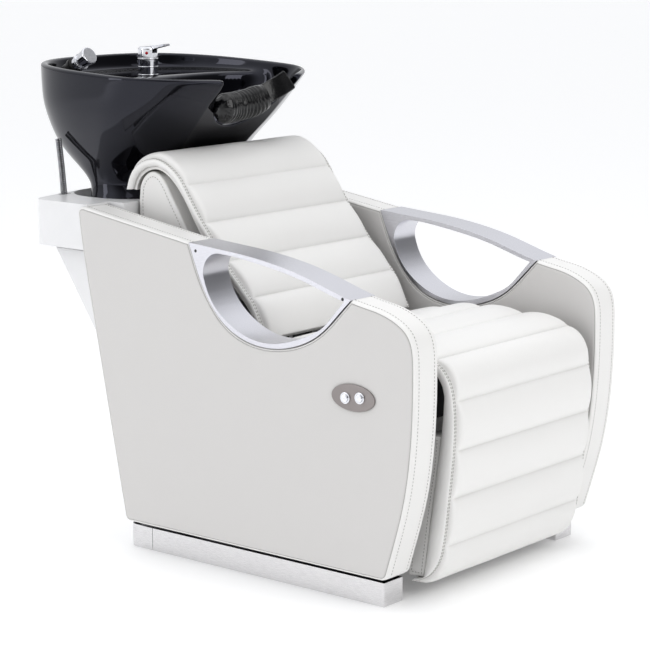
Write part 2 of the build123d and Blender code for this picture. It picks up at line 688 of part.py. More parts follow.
def rear_cover():
    with BuildPart() as cover:
        with BuildSketch(Plane.XY.offset(COVER_BOTTOM)) as plan:
            with BuildLine() as outline:
                Polyline((-330, 425), (-330, 300), (-264, 300), (-264, 260),
                         (264, 260), (264, 300), (330, 300), (330, 425))
                ThreePointArc((330, 425), (322, 450), (299, 462))
                ThreePointArc((299, 462), (0, 497), (-299, 462))
                ThreePointArc((-299, 462), (-322, 450), (-330, 425))
            make_face()
        extrude(amount=COVER_TOP - COVER_BOTTOM)
        with BuildSketch(Plane.XY.offset(COVER_BOTTOM)) as room:
            add(plan.sketch.moved(Location((0, 0, -COVER_BOTTOM))))
            offset(amount=-COVER_WALL, mode=Mode.REPLACE)
        extrude(amount=COVER_TOP - COVER_BOTTOM - COVER_WALL, mode=Mode.SUBTRACT)
        with BuildSketch(Plane.XY.offset(COVER_TOP - 20)) as well:
            with Locations((0, 377)):
                RectangleRounded(472, 222, 94)
        extrude(amount=20, mode=Mode.SUBTRACT)
        with BuildSketch(Plane.XY.offset(COVER_TOP - 20)) as hose_slot:
            with Locations((-234, 463)):
                SlotOverall(32, 18)
        extrude(amount=20, mode=Mode.SUBTRACT)
        for side in (-1, 1):
            low, high = sorted((side * SIDE_IN, side * SIDE_OUT))
            with BuildSketch(side_plane(low)) as panel_room:
                make_face(panel_outline().edges())
            extrude(amount=high - low, mode=Mode.SUBTRACT)
    save(cover, "rear_cover")

    with BuildPart() as housing:
        plane, length = between(-HOUSING_HALF, HOUSING_HALF)
        with BuildSketch(plane) as cheek:
            with BuildLine() as outline:
                Polyline((300, 596), HOUSING_TOP, HOUSING_LOW, (300, 596))
            make_face()
        extrude(amount=length)
        inner_plane, inner_length = between(HOUSING_SHEET - HOUSING_HALF, HOUSING_HALF - HOUSING_SHEET)
        with BuildSketch(inner_plane) as inside:
            with BuildLine() as outline:
                Polyline((HOUSING_TOP[0] - 5, 600), (HOUSING_LOW[0] - 8, HOUSING_LOW[1] - 5),
                         (200, 354), (200, 600), close=True)
            make_face()
        extrude(amount=inner_length, mode=Mode.SUBTRACT)
        for side in (-1, 1):
            low, high = sorted((side * SIDE_IN, side * SIDE_OUT))
            with BuildSketch(side_plane(low)) as panel_room:
                make_face(panel_outline().edges())
            extrude(amount=high - low, mode=Mode.SUBTRACT)
    save(housing, "rear_housing")

    socket = inlet_block(20, 30)
    with BuildPart() as lower:
        with BuildSketch(side_plane(2 - SIDE_IN)) as sheet:
            with BuildLine() as outline:
                Polyline((245, 350), (241, 350), (188, 62), (192, 62), close=True)
            make_face()
        extrude(amount=2 * SIDE_IN - 4)
        add(socket, mode=Mode.SUBTRACT)
        with BuildSketch(Plane.XZ) as pipe_cut:
            with Locations((-60, 62)):
                Rectangle(200, 90)
        extrude(amount=-230, mode=Mode.SUBTRACT)
    save(lower, "rear_panel_lower")
    with BuildPart() as inlet:
        add(inlet_block(24, 30))
        with BuildSketch(INLET_PLANE) as mouth:
            RectangleRounded(22, 14, 2)
        extrude(amount=-18, mode=Mode.SUBTRACT)
    save(inlet, "mains_inlet")


# ---- controls ----------------------------------------------------------------------------
def controls():
    centres = [(PLATE_Y + d * BUTTON_GAP / 2, PLATE_Z - d * 2) for d in (-1, 1)]
    plate_plane = side_plane(-SIDE_OUT)
    with BuildPart() as plate:
        with BuildSketch(plate_plane) as oval:
            with Locations((PLATE_Y, PLATE_Z)):
                Ellipse(51, 25.5)
            with Locations(*centres):
                Circle(BUTTON_R + 2, mode=Mode.SUBTRACT)
        extrude(amount=-3)
        fillet(plate.faces().sort_by(Axis.X)[0].outer_wire().edges(), 1.2)
    save(plate, "control_plate")
    with BuildPart() as bezels:
        with BuildSketch(side_plane(-SIDE_OUT - 3)) as rims:
            with Locations(*centres):
                Circle(BUTTON_R + 3.2)
        extrude(amount=-3)
        fillet(bezels.faces().sort_by(Axis.X)[:2].edges(), 1.2)
        with BuildSketch(side_plane(-SIDE_OUT - 3)) as barrels:
            with Locations(*centres):
                Circle(BUTTON_R + 2)
        extrude(amount=10)
        with BuildSketch(side_plane(-SIDE_OUT - 6)) as bores:
            with Locations(*centres):
                Circle(BUTTON_R + RUN_CLEAR)
        extrude(amount=13, mode=Mode.SUBTRACT)
    save(bezels, "button_bezels")
    for name, centre in zip(("down", "up"), centres):
        with BuildPart() as button:
            with BuildSketch(side_plane(-SIDE_OUT - 9)) as cap:
                with Locations(centre):
                    Circle(BUTTON_R)
            extrude(amount=13)
            fillet(button.faces().sort_by(Axis.X)[0].edges(), 1.5)
        save(button, f"button_{name}")


# ---- basin -------------------------------------------------------------------------------
def basin_outline(front, front_half, half, widest, back):
    """Half outline of a basin section, from its front corner round to the middle of its back."""
    flank = [(front_half + (half - front_half) * (1 - (1 - t) ** FLANK_POWER),
              front + (widest - front) * t) for t in (0, 0.3, 0.65, 1)]
    rear = [(half * (1 - t ** REAR_POWER) ** (1 / REAR_POWER),
             widest + (back - widest) * t) for t in (0.45, 0.75, 0.93)]
    return flank + rear + [(0, back)]


def basin_section(z, front, front_half, half, widest, back, inset=0.0):
    """Closed basin section at that height, drawn inside the given outline by the inset."""
    right = basin_outline(front + inset, front_half - inset / 2, half - inset, widest, back - inset)
    with BuildSketch(Plane.XY.offset(z)) as section:
        with BuildLine() as outline:
            left = [(-x, y) for x, y in right[-2::-1]]
            Line(left[-1], right[0])
            Spline(*right, *left, tangents=((0.85, 0.53), (0.85, -0.53)))
        make_face()
    return section.sketch


def basin_body(sections, inset=0.0):
    """Solid through a list of basin sections."""
    faces = [basin_section(*row, inset=inset).face() for row in sections]
    with BuildPart() as body:
        loft(sections=faces, ruled=True)
    return body.part


def slab(y_low, z_low, z_high):
    """Wide block between two heights, from that Y backwards, for trimming the basin's hollows."""
    with BuildPart() as block:
        with BuildSketch(Plane.XY.offset(z_low)) as face:
            with Locations((0, y_low + 400)):
                Rectangle(900, 800)
        extrude(amount=z_high - z_low)
    return block.part


def basin():
    inside = basin_body(BASIN_SECTIONS, inset=BASIN_WALL)
    bottom, top = BASIN_SECTIONS[-1][0] - 1, BASIN_SECTIONS[0][0] + 1
    with BuildPart() as under_bowl:
        add(inside)
        add(slab(0, bottom, BOWL_SECTIONS[-1][0] - BOWL_FLOOR), mode=Mode.INTERSECT)
    with BuildPart() as under_deck:
        add(inside)
        add(slab(DECK_FRONT, bottom, DECK_Z - BOWL_FLOOR), mode=Mode.INTERSECT)
    with BuildPart() as above_deck:
        add(inside)
        add(slab(POCKET_FRONT, DECK_Z, top), mode=Mode.INTERSECT)
    with BuildPart() as body:
        add(basin_body(BASIN_SECTIONS))
        add(under_bowl.part, mode=Mode.SUBTRACT)
        add(under_deck.part, mode=Mode.SUBTRACT)
        add(above_deck.part, mode=Mode.SUBTRACT)
        add(basin_body(BOWL_SECTIONS), mode=Mode.SUBTRACT)
        split(bisect_by=RIM_PLANE, keep=Keep.BOTTOM)
        with BuildSketch(Plane.XZ.offset(-50)) as notch:
            with Locations((0, NOTCH_TOP)):
                Ellipse(NOTCH_HALF, NOTCH_DEPTH)
            with Locations((0, NOTCH_TOP + 30)):
                Rectangle(2 * NOTCH_HALF, 60)
        extrude(amount=-195, mode=Mode.SUBTRACT)
        with BuildSketch(Plane.XY.offset(700)) as holes:
            with Locations((0, WASTE_Y)):
                Circle(WASTE_R)
            with Locations((TAP_X, TAP_Y)):
                Circle(SHANK_R)
        extrude(amount=300, mode=Mode.SUBTRACT)
        with BuildSketch(Plane.XY.offset(720)) as hose_room:
            with Locations((HOSE_X, 476)):
                SlotOverall(30, 18)
        extrude(amount=150, mode=Mode.SUBTRACT)
        with BuildSketch(HAND_PLANE) as hand_hole:
            Circle(HAND_SEAT_R)
        extrude(amount=60, both=True, mode=Mode.SUBTRACT)
    save(body, "basin_bowl")


def basin_mount():
    """Tilting bracket under the bowl, its trunnions, and the pedestal that carries them."""
    floor_z = BOWL_SECTIONS[-1][0] - BOWL_FLOOR
    ear = 8.0
    cheek_x = 90.0
    with BuildPart() as bracket:
        with BuildSketch(Plane.XY.offset(floor_z - 6)) as top:
            with Locations((0, 330)):
                Rectangle(2 * cheek_x, 110)
            with Locations((0, WASTE_Y)):
                Circle(26, mode=Mode.SUBTRACT)
        extrude(amount=6)
        for low in (-cheek_x, cheek_x - ear):
            plane, thick = between(low, low + ear)
            with BuildSketch(plane) as cheek:
                with BuildLine() as outline:
                    Polyline((TILT_Y - 20, TILT_Z), (290, floor_z), (385, floor_z),
                             (TILT_Y + 20, TILT_Z), close=True)
                make_face()
                with Locations((TILT_Y, TILT_Z)):
                    Circle(20)
                    Circle(TILT_PIN_R, mode=Mode.SUBTRACT)
            extrude(amount=thick)
    save(bracket, "basin_bracket")

    with BuildPart() as shafts:
        for low in (-cheek_x - 16, cheek_x - ear):
            plane, length = between(low, low + 16 + ear)
            with BuildSketch(plane) as pin:
                with Locations((TILT_Y, TILT_Z)):
                    Circle(TILT_PIN_R)
            extrude(amount=length)
    save(shafts, "tilt_shafts")

    with BuildPart() as pedestal:
        with BuildSketch(Plane.XY.offset(PLATFORM_Z + 6)) as base:
            with Locations((0, TILT_Y - 14)):
                RectangleRounded(260, 108, 12)
            with Locations((0, WASTE_Y)):
                Circle(28, mode=Mode.SUBTRACT)
        extrude(amount=6)
        for low in (-cheek_x - 12, cheek_x + 2):
            plane, thick = between(low, low + 10)
            with BuildSketch(plane) as ear_shape:
                with BuildLine() as outline:
                    Polyline((TILT_Y - 45, PLATFORM_Z + 12), (TILT_Y + 35, PLATFORM_Z + 12),
                             (TILT_Y + 18, TILT_Z), (TILT_Y - 18, TILT_Z), close=True)
                make_face()
                with Locations((TILT_Y, TILT_Z)):
                    Circle(18)
                    Circle(TILT_PIN_R + RUN_CLEAR, mode=Mode.SUBTRACT)
            extrude(amount=thick)
    save(pedestal, "basin_pedestal")


def waste():
    floor_z = BOWL_SECTIONS[-1][0]
    with BuildPart() as fitting:
        with BuildSketch(Plane.XY.offset(floor_z)) as flange:
            with Locations((0, WASTE_Y)):
                Circle(22)
                Circle(16, mode=Mode.SUBTRACT)
        extrude(amount=3)
        with BuildSketch(Plane.XY.offset(TAIL_Z)) as tail:
            with Locations((0, WASTE_Y)):
                Circle(WASTE_R)
                Circle(16, mode=Mode.SUBTRACT)
        extrude(amount=floor_z - TAIL_Z)
    save(fitting, "waste_fitting")
    with BuildPart() as strainer:
        with BuildSketch(Plane.XY.offset(floor_z)) as disc:
            with Locations((0, WASTE_Y)):
                Circle(16)
                with PolarLocations(10.5, 8):
                    Circle(2.6, mode=Mode.SUBTRACT)
                with PolarLocations(4, 4):
                    Circle(1.8, mode=Mode.SUBTRACT)
        extrude(amount=3)
    save(strainer, "waste_strainer")
    with BuildPart() as pipe:
        with BuildLine() as route:
            FilletPolyline((0, WASTE_Y, SLEEVE_Z), (0, WASTE_Y, 570), (0, 280, 500),
                           (0, 150, 430), (0, 90, 330), (0, 90, 100), radius=60)
        with BuildSketch(Plane(origin=route.line @ 0, z_dir=route.line % 0)) as ring:
            Circle(WASTE_R)
            Circle(WASTE_R - 3, mode=Mode.SUBTRACT)
        sweep()
    save(pipe, "waste_pipe")
    with BuildPart() as sleeve:
        with BuildSketch(Plane.XY.offset(SLEEVE_Z - 18)) as grip:
            with Locations((0, WASTE_Y)):
                Circle(WASTE_R + 4)
                Circle(WASTE_R, mode=Mode.SUBTRACT)
        extrude(amount=18)
        with BuildSketch(Plane.XY.offset(SLEEVE_Z)) as cup:
            with Locations((0, WASTE_Y)):
                Circle(WASTE_R + 11)
        extrude(amount=26)
        with BuildSketch(Plane.XY.offset(SLEEVE_Z)) as way:
            with Locations((0, WASTE_Y)):
                Circle(WASTE_R - 3)
        extrude(amount=4, mode=Mode.SUBTRACT)
        with BuildSketch(Plane.XY.offset(SLEEVE_Z + 4)) as mouth:
            with Locations((0, WASTE_Y)):
                Circle(WASTE_R + 8)
        extrude(amount=22, mode=Mode.SUBTRACT)
    save(sleeve, "waste_sleeve")


# ---- taps and hand shower ----------------------------------------------------------------
def mixer():
    centre = (TAP_X, TAP_Y)
    with BuildPart() as body:
        with BuildSketch(Plane.XY.offset(DECK_Z)) as foot:
            with Locations(centre):
                Circle(TAP_R)
        extrude(amount=CAP_Z - DECK_Z - 0.2)
        with BuildSketch(Plane.XY.offset(CAP_Z - 0.2)) as spigot:
            with Locations(centre):
                Circle(SPIGOT_R)
        extrude(amount=7)
        with BuildSketch(Plane.XY.offset(DECK_Z)) as shank:
            with Locations(centre):
                Circle(SHANK_R)
        extrude(amount=-46)
    save(body, "mixer_body")
    with BuildPart() as nut:
        with BuildSketch(Plane.XY.offset(DECK_Z - 24)) as ring:
            with Locations(centre):
                RegularPolygon(22, 6)
                Circle(SHANK_R, mode=Mode.SUBTRACT)
        extrude(amount=12)
    save(nut, "mixer_nut")
    with BuildPart() as cap:
        with BuildSketch(Plane.XY.offset(CAP_Z)) as dome:
            with Locations(centre):
                Circle(TAP_R)
        extrude(amount=CAP_TOP - CAP_Z)
        fillet(cap.faces().sort_by(Axis.Z)[-1].edges(), 6)
        with BuildSketch(Plane.XY.offset(CAP_Z)) as bore:
            with Locations(centre):
                Circle(SPIGOT_R + RUN_CLEAR)
        extrude(amount=8, mode=Mode.SUBTRACT)
        with BuildSketch(Plane.XY.offset(CAP_Z + 9)) as lever_slot:
            with Locations((TAP_X, TAP_Y - 14)):
                Rectangle(15, 34)
        extrude(amount=40, mode=Mode.SUBTRACT)
        pin_plane, pin_length = between(TAP_X - 14, TAP_X + 14)
        with BuildSketch(pin_plane) as cross_bore:
            with Locations((TAP_Y - 6, CAP_Z + 14)):
                Circle(2.5 + RUN_CLEAR)
        extrude(amount=pin_length, mode=Mode.SUBTRACT)
    save(cap, "mixer_cap")
    with BuildPart() as lever:
        with BuildSketch(pin_plane) as pin:
            with Locations((TAP_Y - 6, CAP_Z + 14)):
                Circle(2.5)
        extrude(amount=pin_length)
        plane, width = between(TAP_X - 6.5, TAP_X + 6.5)
        with BuildSketch(plane) as arm:
            with BuildLine() as outline:
                Polyline((TAP_Y - 1, CAP_Z + 11), (TAP_Y - 1, CAP_Z + 19), (TAP_Y - 10, CAP_Z + 24),
                         (TAP_Y - 58, CAP_Z + 30), (TAP_Y - 60, CAP_Z + 26), (TAP_Y - 24, CAP_Z + 18),
                         (TAP_Y - 12, CAP_Z + 11), close=True)
            make_face()
        extrude(amount=width)
    save(lever, "mixer_lever")


def hand_shower():
    with BuildPart() as holder:
        with BuildSketch(HAND_PLANE.offset(-14)) as tube:
            Circle(HAND_SEAT_R)
            Circle(HAND_TAIL_R + RUN_CLEAR, mode=Mode.SUBTRACT)
        extrude(amount=26)
        with BuildSketch(HAND_PLANE.offset(6)) as collar:
            Circle(18)
            Circle(HAND_SEAT_R, mode=Mode.SUBTRACT)
        extrude(amount=6)
    save(holder, "shower_holder")
    with BuildPart() as handset:
        with BuildSketch(HAND_PLANE.offset(-14)) as tail:
            Circle(HAND_TAIL_R)
        extrude(amount=26)
        with BuildSketch(HAND_PLANE.offset(12)) as neck:
            Circle(14.5)
        with BuildSketch(HAND_PLANE.offset(40)) as waist:
            Circle(16)
        with BuildSketch(HAND_PLANE.offset(66)) as face:
            Circle(20)
        loft(sections=[neck.sketch, waist.sketch, face.sketch])
        fillet(handset.faces().sort_by(Axis((0, 0, 0), HAND_PLANE.z_dir))[-1].edges(), 3)
    save(handset, "hand_shower")


def hoses():
    with BuildPart() as pair:
        for side in (-1, 1):
            points = [(HOSE_X + side * spread, y, z) for y, z, spread in HOSE_ROUTE]
            with BuildLine() as route:
                FilletPolyline(*points, radius=hose_radii(points))
            with BuildSketch(Plane(origin=route.line @ 0, z_dir=route.line % 0)) as ring:
                Circle(HOSE_R)
            sweep()
    save(pair, "supply_hoses")
    y, z, spread = HOSE_ROUTE[-1]
    with BuildPart() as nuts:
        with BuildSketch(Plane.XY.offset(z - 17)) as hexes:
            with Locations((HOSE_X - spread, y - 1), (HOSE_X + spread, y - 1)):
                RegularPolygon(7.5, 6)
                Circle(4, mode=Mode.SUBTRACT)
        extrude(amount=15.5)
    save(nuts, "hose_nuts")


def hose_radii(points):
    """Radius of the arc at each corner: 0.45 of the shorter run over the tangent of half the turn."""
    radii = []
    for before, corner, after in zip(points, points[1:], points[2:]):
        first = Vector(*corner) - Vector(*before)
        second = Vector(*after) - Vector(*corner)
        shorter = min(first.length, second.length)
        radii.append(0.45 * shorter / tan(radians(first.get_angle(second)) / 2))
    print("hose radii", [round(r) for r in radii])
    return radii


def neck_rest():
    roll = 22.0
    with BuildPart() as rest:
        with BuildLine() as route:
            ThreePointArc((-82, 140, 892), (-15, 156, 888), (56, 146, 906))
        with BuildSketch(Plane(origin=route.line @ 0, z_dir=route.line % 0)):
            Circle(roll)
        sweep()
    save(rest, "neck_rest")


base_frame()
foot_pads()
plinths()
side_panels()
armrests()
seat_frame()
seat()
knee_cushion()
leg_rest()
actuator()
backrest()
rear_frame()
rear_cover()
controls()
basin()
basin_mount()
waste()
mixer()
hand_shower()
hoses()
neck_rest()
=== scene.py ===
"""Salon backwash unit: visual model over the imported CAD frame. Metres, +Z up, client faces -Y."""
import json
import math

import bmesh
import bpy
import numpy as np
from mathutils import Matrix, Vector, noise


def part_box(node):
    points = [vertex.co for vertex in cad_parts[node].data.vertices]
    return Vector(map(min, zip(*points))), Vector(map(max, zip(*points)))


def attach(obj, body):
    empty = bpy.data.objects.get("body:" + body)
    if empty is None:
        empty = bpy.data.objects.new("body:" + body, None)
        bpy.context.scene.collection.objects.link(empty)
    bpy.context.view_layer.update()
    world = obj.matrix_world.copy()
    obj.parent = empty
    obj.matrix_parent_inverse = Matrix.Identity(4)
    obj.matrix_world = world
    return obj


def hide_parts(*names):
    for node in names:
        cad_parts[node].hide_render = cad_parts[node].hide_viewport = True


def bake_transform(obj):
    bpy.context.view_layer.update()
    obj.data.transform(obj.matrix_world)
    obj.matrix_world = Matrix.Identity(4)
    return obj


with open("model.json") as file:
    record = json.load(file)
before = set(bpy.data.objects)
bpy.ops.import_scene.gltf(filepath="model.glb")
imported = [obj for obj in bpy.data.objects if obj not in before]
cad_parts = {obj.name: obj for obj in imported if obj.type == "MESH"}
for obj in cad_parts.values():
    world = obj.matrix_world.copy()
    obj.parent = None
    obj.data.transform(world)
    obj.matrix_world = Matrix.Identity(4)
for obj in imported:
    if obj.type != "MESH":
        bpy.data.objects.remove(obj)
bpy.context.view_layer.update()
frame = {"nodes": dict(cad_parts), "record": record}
nodes = frame["nodes"]

# ---- camera, floor and lights ------------------------------------------------------------
CAMERA_AZ, CAMERA_EL = math.radians(-50.67), math.radians(10.65)
CAMERA_PLACE, CAMERA_LENS = (-3.4997, -2.9194, 1.2948), 124.06
back = Vector((math.sin(CAMERA_AZ) * math.cos(CAMERA_EL),
               -math.cos(CAMERA_AZ) * math.cos(CAMERA_EL), math.sin(CAMERA_EL)))
camera_data = bpy.data.cameras.new("camera")
camera_data.lens = CAMERA_LENS
camera_data.sensor_width = 36.0
camera_data.clip_end = 300.0
camera = bpy.data.objects.new("camera", camera_data)
camera.location = CAMERA_PLACE
camera.rotation_mode = "QUATERNION"
camera.rotation_quaternion = (-back).to_track_quat("-Z", "Y")
bpy.context.collection.objects.link(camera)
bpy.context.scene.camera = camera


def link(obj):
    bpy.context.collection.objects.link(obj)
    return obj


def area_light(name, location, target, size, power):
    data = bpy.data.lights.new(name, "AREA")
    data.shape = "RECTANGLE"
    data.size, data.size_y = size
    data.energy = power
    lamp = link(bpy.data.objects.new(name, data))
    lamp.location = location
    lamp.rotation_mode = "QUATERNION"
    aim = Vector(target) - Vector(location)
    lamp.rotation_quaternion = aim.to_track_quat("-Z", "Y")


area_light("key", (-0.4, -4.2, 3.0), (0, 0, 0.5), (3.0, 2.4), 62)
area_light("top", (0.0, -1.6, 3.9), (0, 0.0, 0.5), (3.4, 3.4), 28)
area_light("side", (-4.4, 2.6, 1.7), (0, 0.2, 0.7), (1.6, 2.6), 30)


def world_sky():
    """Soft studio surround: bright above and to the sides, darker low down in front."""
    world = bpy.data.worlds.new("studio")
    bpy.context.scene.world = world
    world.use_nodes = True
    tree = world.node_tree
    tree.nodes.clear()
    out = tree.nodes.new("ShaderNodeOutputWorld")
    shade = tree.nodes.new("ShaderNodeBackground")
    coord = tree.nodes.new("ShaderNodeTexCoord")
    axes = tree.nodes.new("ShaderNodeSeparateXYZ")
    tree.links.new(coord.outputs["Generated"], axes.inputs[0])

    def eased(axis, *limits):
        made = tree.nodes.new("ShaderNodeMapRange")
        made.interpolation_type = "SMOOTHSTEP"
        for key, value in zip(("From Min", "From Max", "To Min", "To Max"), limits):
            made.inputs[key].default_value = value
        tree.links.new(axes.outputs[axis], made.inputs["Value"])
        return made.outputs["Result"]

    mix = tree.nodes.new("ShaderNodeMath")
    mix.operation = "MULTIPLY"
    tree.links.new(eased("Z", -0.1, 0.9, 0.70, 1.22), mix.inputs[0])
    tree.links.new(eased("Y", -0.75, 0.05, 0.14, 1.0), mix.inputs[1])
    tree.links.new(mix.outputs[0], shade.inputs["Strength"])
    shade.inputs["Color"].default_value = (0.97, 0.98, 1.0, 1)
    tree.links.new(shade.outputs[0], out.inputs[0])


world_sky()
bpy.context.scene.view_settings.view_transform = "Standard"


# ---- materials ---------------------------------------------------------------------------
def linear(value):
    return value / 12.92 if value <= 0.04045 else ((value + 0.055) / 1.055) ** 2.4


def rgb(r, g, b):
    """Colour from sRGB values of 0 to 255."""
    return tuple(linear(v / 255) for v in (r, g, b)) + (1.0,)


class Shader:
    """A principled material with its coordinates and a chain of bumps."""

    def __init__(self, name, colour, roughness, metallic=0.0, coat=0.0):
        self.material = bpy.data.materials.new(name)
        self.material.use_nodes = True
        self.tree = self.material.node_tree
        self.bsdf = self.tree.nodes["Principled BSDF"]
        self.bsdf.inputs["Base Color"].default_value = colour
        self.bsdf.inputs["Roughness"].default_value = roughness
        self.bsdf.inputs["Metallic"].default_value = metallic
        self.bsdf.inputs["Coat Weight"].default_value = coat
        self.bsdf.inputs["IOR"].default_value = 1.5
        self.coord = self.tree.nodes.new("ShaderNodeTexCoord")
        self.normal = None

    def node(self, kind, **inputs):
        made = self.tree.nodes.new(kind)
        for key, value in inputs.items():
            made.inputs[key.replace("_", " ")].default_value = value
        return made

    def place(self, scale=(1, 1, 1)):
        """Object coordinates in metres, scaled per axis."""
        mapping = self.tree.nodes.new("ShaderNodeMapping")
        mapping.inputs["Scale"].default_value = scale
        self.tree.links.new(self.coord.outputs["Object"], mapping.inputs["Vector"])
        return mapping.outputs["Vector"]

    def noise(self, scale, detail=3.0, roughness=0.5, stretch=(1, 1, 1)):
        made = self.node("ShaderNodeTexNoise", Scale=scale, Detail=detail, Roughness=roughness)
        self.tree.links.new(self.place(stretch), made.inputs["Vector"])
        return made.outputs["Fac"]

    def cells(self, scale):
        made = self.node("ShaderNodeTexVoronoi", Scale=scale)
        self.tree.links.new(self.place(), made.inputs["Vector"])
        return made.outputs["Distance"]

    def waves(self, scale, axis="X", distortion=0.0, stretch=(1, 1, 1)):
        made = self.node("ShaderNodeTexWave", Scale=scale, Distortion=distortion, Detail=2.0)
        made.bands_direction = axis
        self.tree.links.new(self.place(stretch), made.inputs["Vector"])
        return made.outputs["Fac"]

    def ramp(self, value, low, high, start=0.0, end=1.0):
        made = self.node("ShaderNodeMapRange", From_Min=start, From_Max=end, To_Min=low,
                         To_Max=high)
        self.tree.links.new(value, made.inputs["Value"])
        return made.outputs["Result"]

    def bump(self, height, distance, strength=1.0):
        made = self.node("ShaderNodeBump", Strength=strength, Distance=distance)
        self.tree.links.new(height, made.inputs["Height"])
        if self.normal is not None:
            self.tree.links.new(self.normal, made.inputs["Normal"])
        self.normal = made.outputs["Normal"]
        self.tree.links.new(self.normal, self.bsdf.inputs["Normal"])
        if self.bsdf.inputs["Coat Weight"].default_value > 0:
            self.tree.links.new(self.normal, self.bsdf.inputs["Coat Normal"])

    def tint(self, factor, dark, bright):
        """Base colour between two colours."""
        made = self.tree.nodes.new("ShaderNodeMix")
        made.data_type = "RGBA"
        made.inputs["A"].default_value = dark
        made.inputs["B"].default_value = bright
        self.tree.links.new(factor, made.inputs["Factor"])
        self.tree.links.new(made.outputs["Result"], self.bsdf.inputs["Base Color"])

    def roughen(self, factor, low, high):
        self.tree.links.new(self.ramp(factor, low, high), self.bsdf.inputs["Roughness"])

    def paint_crevice_shade(self, dark, bright, distance=0.012):
        """Painted shade: base colour that darkens inside seams and gaps, by ambient occlusion."""
        made = self.node("ShaderNodeAmbientOcclusion", Distance=distance)
        made.samples = 8
        self.tint(self.ramp(made.outputs["AO"], 0.0, 1.0, 0.35, 0.95), dark, bright)


def vinyl(name, dark, bright, roughness=0.42):
    """Upholstery vinyl: fine pebble grain, slow hand-sized unevenness, painted shade in the seams.
    """
    made = Shader(name, bright, roughness, coat=0.12)
    made.bsdf.inputs["Coat Roughness"].default_value = 0.3
    # painted shade: the colour falls to the dark one inside seams and gaps
    made.paint_crevice_shade(dark, bright)
    made.roughen(made.noise(60.0), roughness - 0.05, roughness + 0.07)
    made.bump(made.noise(9.0, 2.0), 0.0012, 0.35)
    made.bump(made.cells(1150.0), 0.00025, 0.45)
    return made.material


def metal(name, dark, bright, roughness, grain, bump=0.00008):
    """Metal with a brushed grain along one axis."""
    made = Shader(name, bright, roughness, metallic=1.0)
    brushed = made.noise(60.0, 4.0, 0.7, stretch=grain)
    made.tint(made.ramp(brushed, 0.0, 1.0, 0.3, 0.7), dark, bright)
    made.roughen(made.noise(25.0), roughness - 0.04, roughness + 0.05)
    made.bump(brushed, bump, 0.5)
    return made.material


def plain(name, dark, bright, roughness, coat=0.0, scale=500.0, distance=0.0002, metallic=0.0):
    """Moulded, painted or cast finish: slight tone shifts and a fine surface texture."""
    made = Shader(name, bright, roughness, metallic=metallic, coat=coat)
    made.tint(made.noise(18.0), dark, bright)
    made.roughen(made.noise(40.0), roughness - 0.04, roughness + 0.05)
    made.bump(made.noise(scale, 2.0), distance, 0.3)
    return made.material


# The darker colour of each vinyl is painted shade, filled into seams and gaps by ambient occlusion.
vinyl_white = vinyl("vinyl_white", rgb(176, 174, 170), rgb(240, 239, 237))
# Darker copy of the white vinyl for the side panels' outer faces: painted shade for faces turned
# from the light.
vinyl_side_shaded = vinyl("vinyl_side_shaded", rgb(140, 138, 135), rgb(210, 208, 206), 0.46)
thread = plain("thread", rgb(150, 148, 144), rgb(196, 194, 190), 0.6, scale=1800.0)
shell_white = plain("shell_white", rgb(231, 231, 232), rgb(237, 237, 238), 0.34, coat=0.2,
                    scale=600.0, distance=0.00005)
plastic_black = plain("plastic_black", rgb(20, 20, 21), rgb(34, 34, 36), 0.45, scale=900.0)
plastic_grey = plain("plastic_grey", rgb(118, 118, 120), rgb(150, 150, 152), 0.4, scale=700.0)
plate_taupe = plain("plate_taupe", rgb(128, 121, 120), rgb(150, 143, 141), 0.34, coat=0.2,
                    scale=900.0, metallic=0.35)
rubber_black = plain("rubber_black", rgb(16, 16, 16), rgb(30, 30, 30), 0.7, scale=1200.0)
paint_black = plain("paint_black", rgb(26, 26, 28), rgb(44, 44, 47), 0.38, coat=0.15,
                    scale=420.0, distance=0.0004)
dot_red = plain("dot_red", rgb(170, 20, 30), rgb(200, 30, 42), 0.25, coat=0.5)
arm_aluminium = metal("arm_aluminium", rgb(196, 196, 202), rgb(222, 222, 228), 0.3, (40, 1, 40))
plinth_steel = metal("plinth_steel", rgb(200, 199, 200), rgb(232, 231, 232), 0.16, (1, 1, 30))
shaft_steel = metal("shaft_steel", rgb(150, 150, 152), rgb(205, 205, 208), 0.25, (1, 20, 20))
brass = metal("brass", rgb(160, 124, 60), rgb(205, 168, 92), 0.25, (20, 1, 1))
chrome = metal("chrome", rgb(214, 215, 220), rgb(238, 239, 243), 0.07, (3, 3, 3), 0.00001)


def ceramic_glaze():
    """Black glaze: deep gloss over a slow orange-peel ripple."""
    made = Shader("ceramic_glaze", rgb(8, 8, 10), 0.06)
    made.bsdf.inputs["Specular IOR Level"].default_value = 0.46
    made.bsdf.inputs["Specular Tint"].default_value = (0.80, 0.82, 1.0, 1.0)
    made.tint(made.noise(6.0), rgb(4, 4, 6), rgb(8, 8, 11))
    made.bump(made.noise(14.0, 2.0), 0.0006, 0.10)
    made.bump(made.noise(160.0, 2.0), 0.00006, 0.2)
    return made.material


def gathered_vinyl():
    """Glossy black vinyl with small drawn creases."""
    made = Shader("gathered_vinyl", rgb(9, 9, 10), 0.17)
    made.bsdf.inputs["Specular IOR Level"].default_value = 0.45
    made.tint(made.noise(40.0), rgb(6, 6, 7), rgb(13, 13, 15))
    made.bump(made.noise(110.0, 4.0, 0.55, stretch=(2.2, 0.8, 0.8)), 0.0007, 0.4)
    made.bump(made.cells(1100.0), 0.00012, 0.25)
    return made.material


def plywood():
    """Edge-glued plies with a brown grain."""
    made = Shader("plywood", rgb(190, 156, 112), 0.6)
    grain = made.noise(14.0, 6.0, 0.6, stretch=(1, 8, 8))
    made.tint(grain, rgb(150, 114, 74), rgb(206, 174, 130))
    made.bump(made.waves(110.0, "X", 1.5), 0.0003, 0.4)
    return made.material


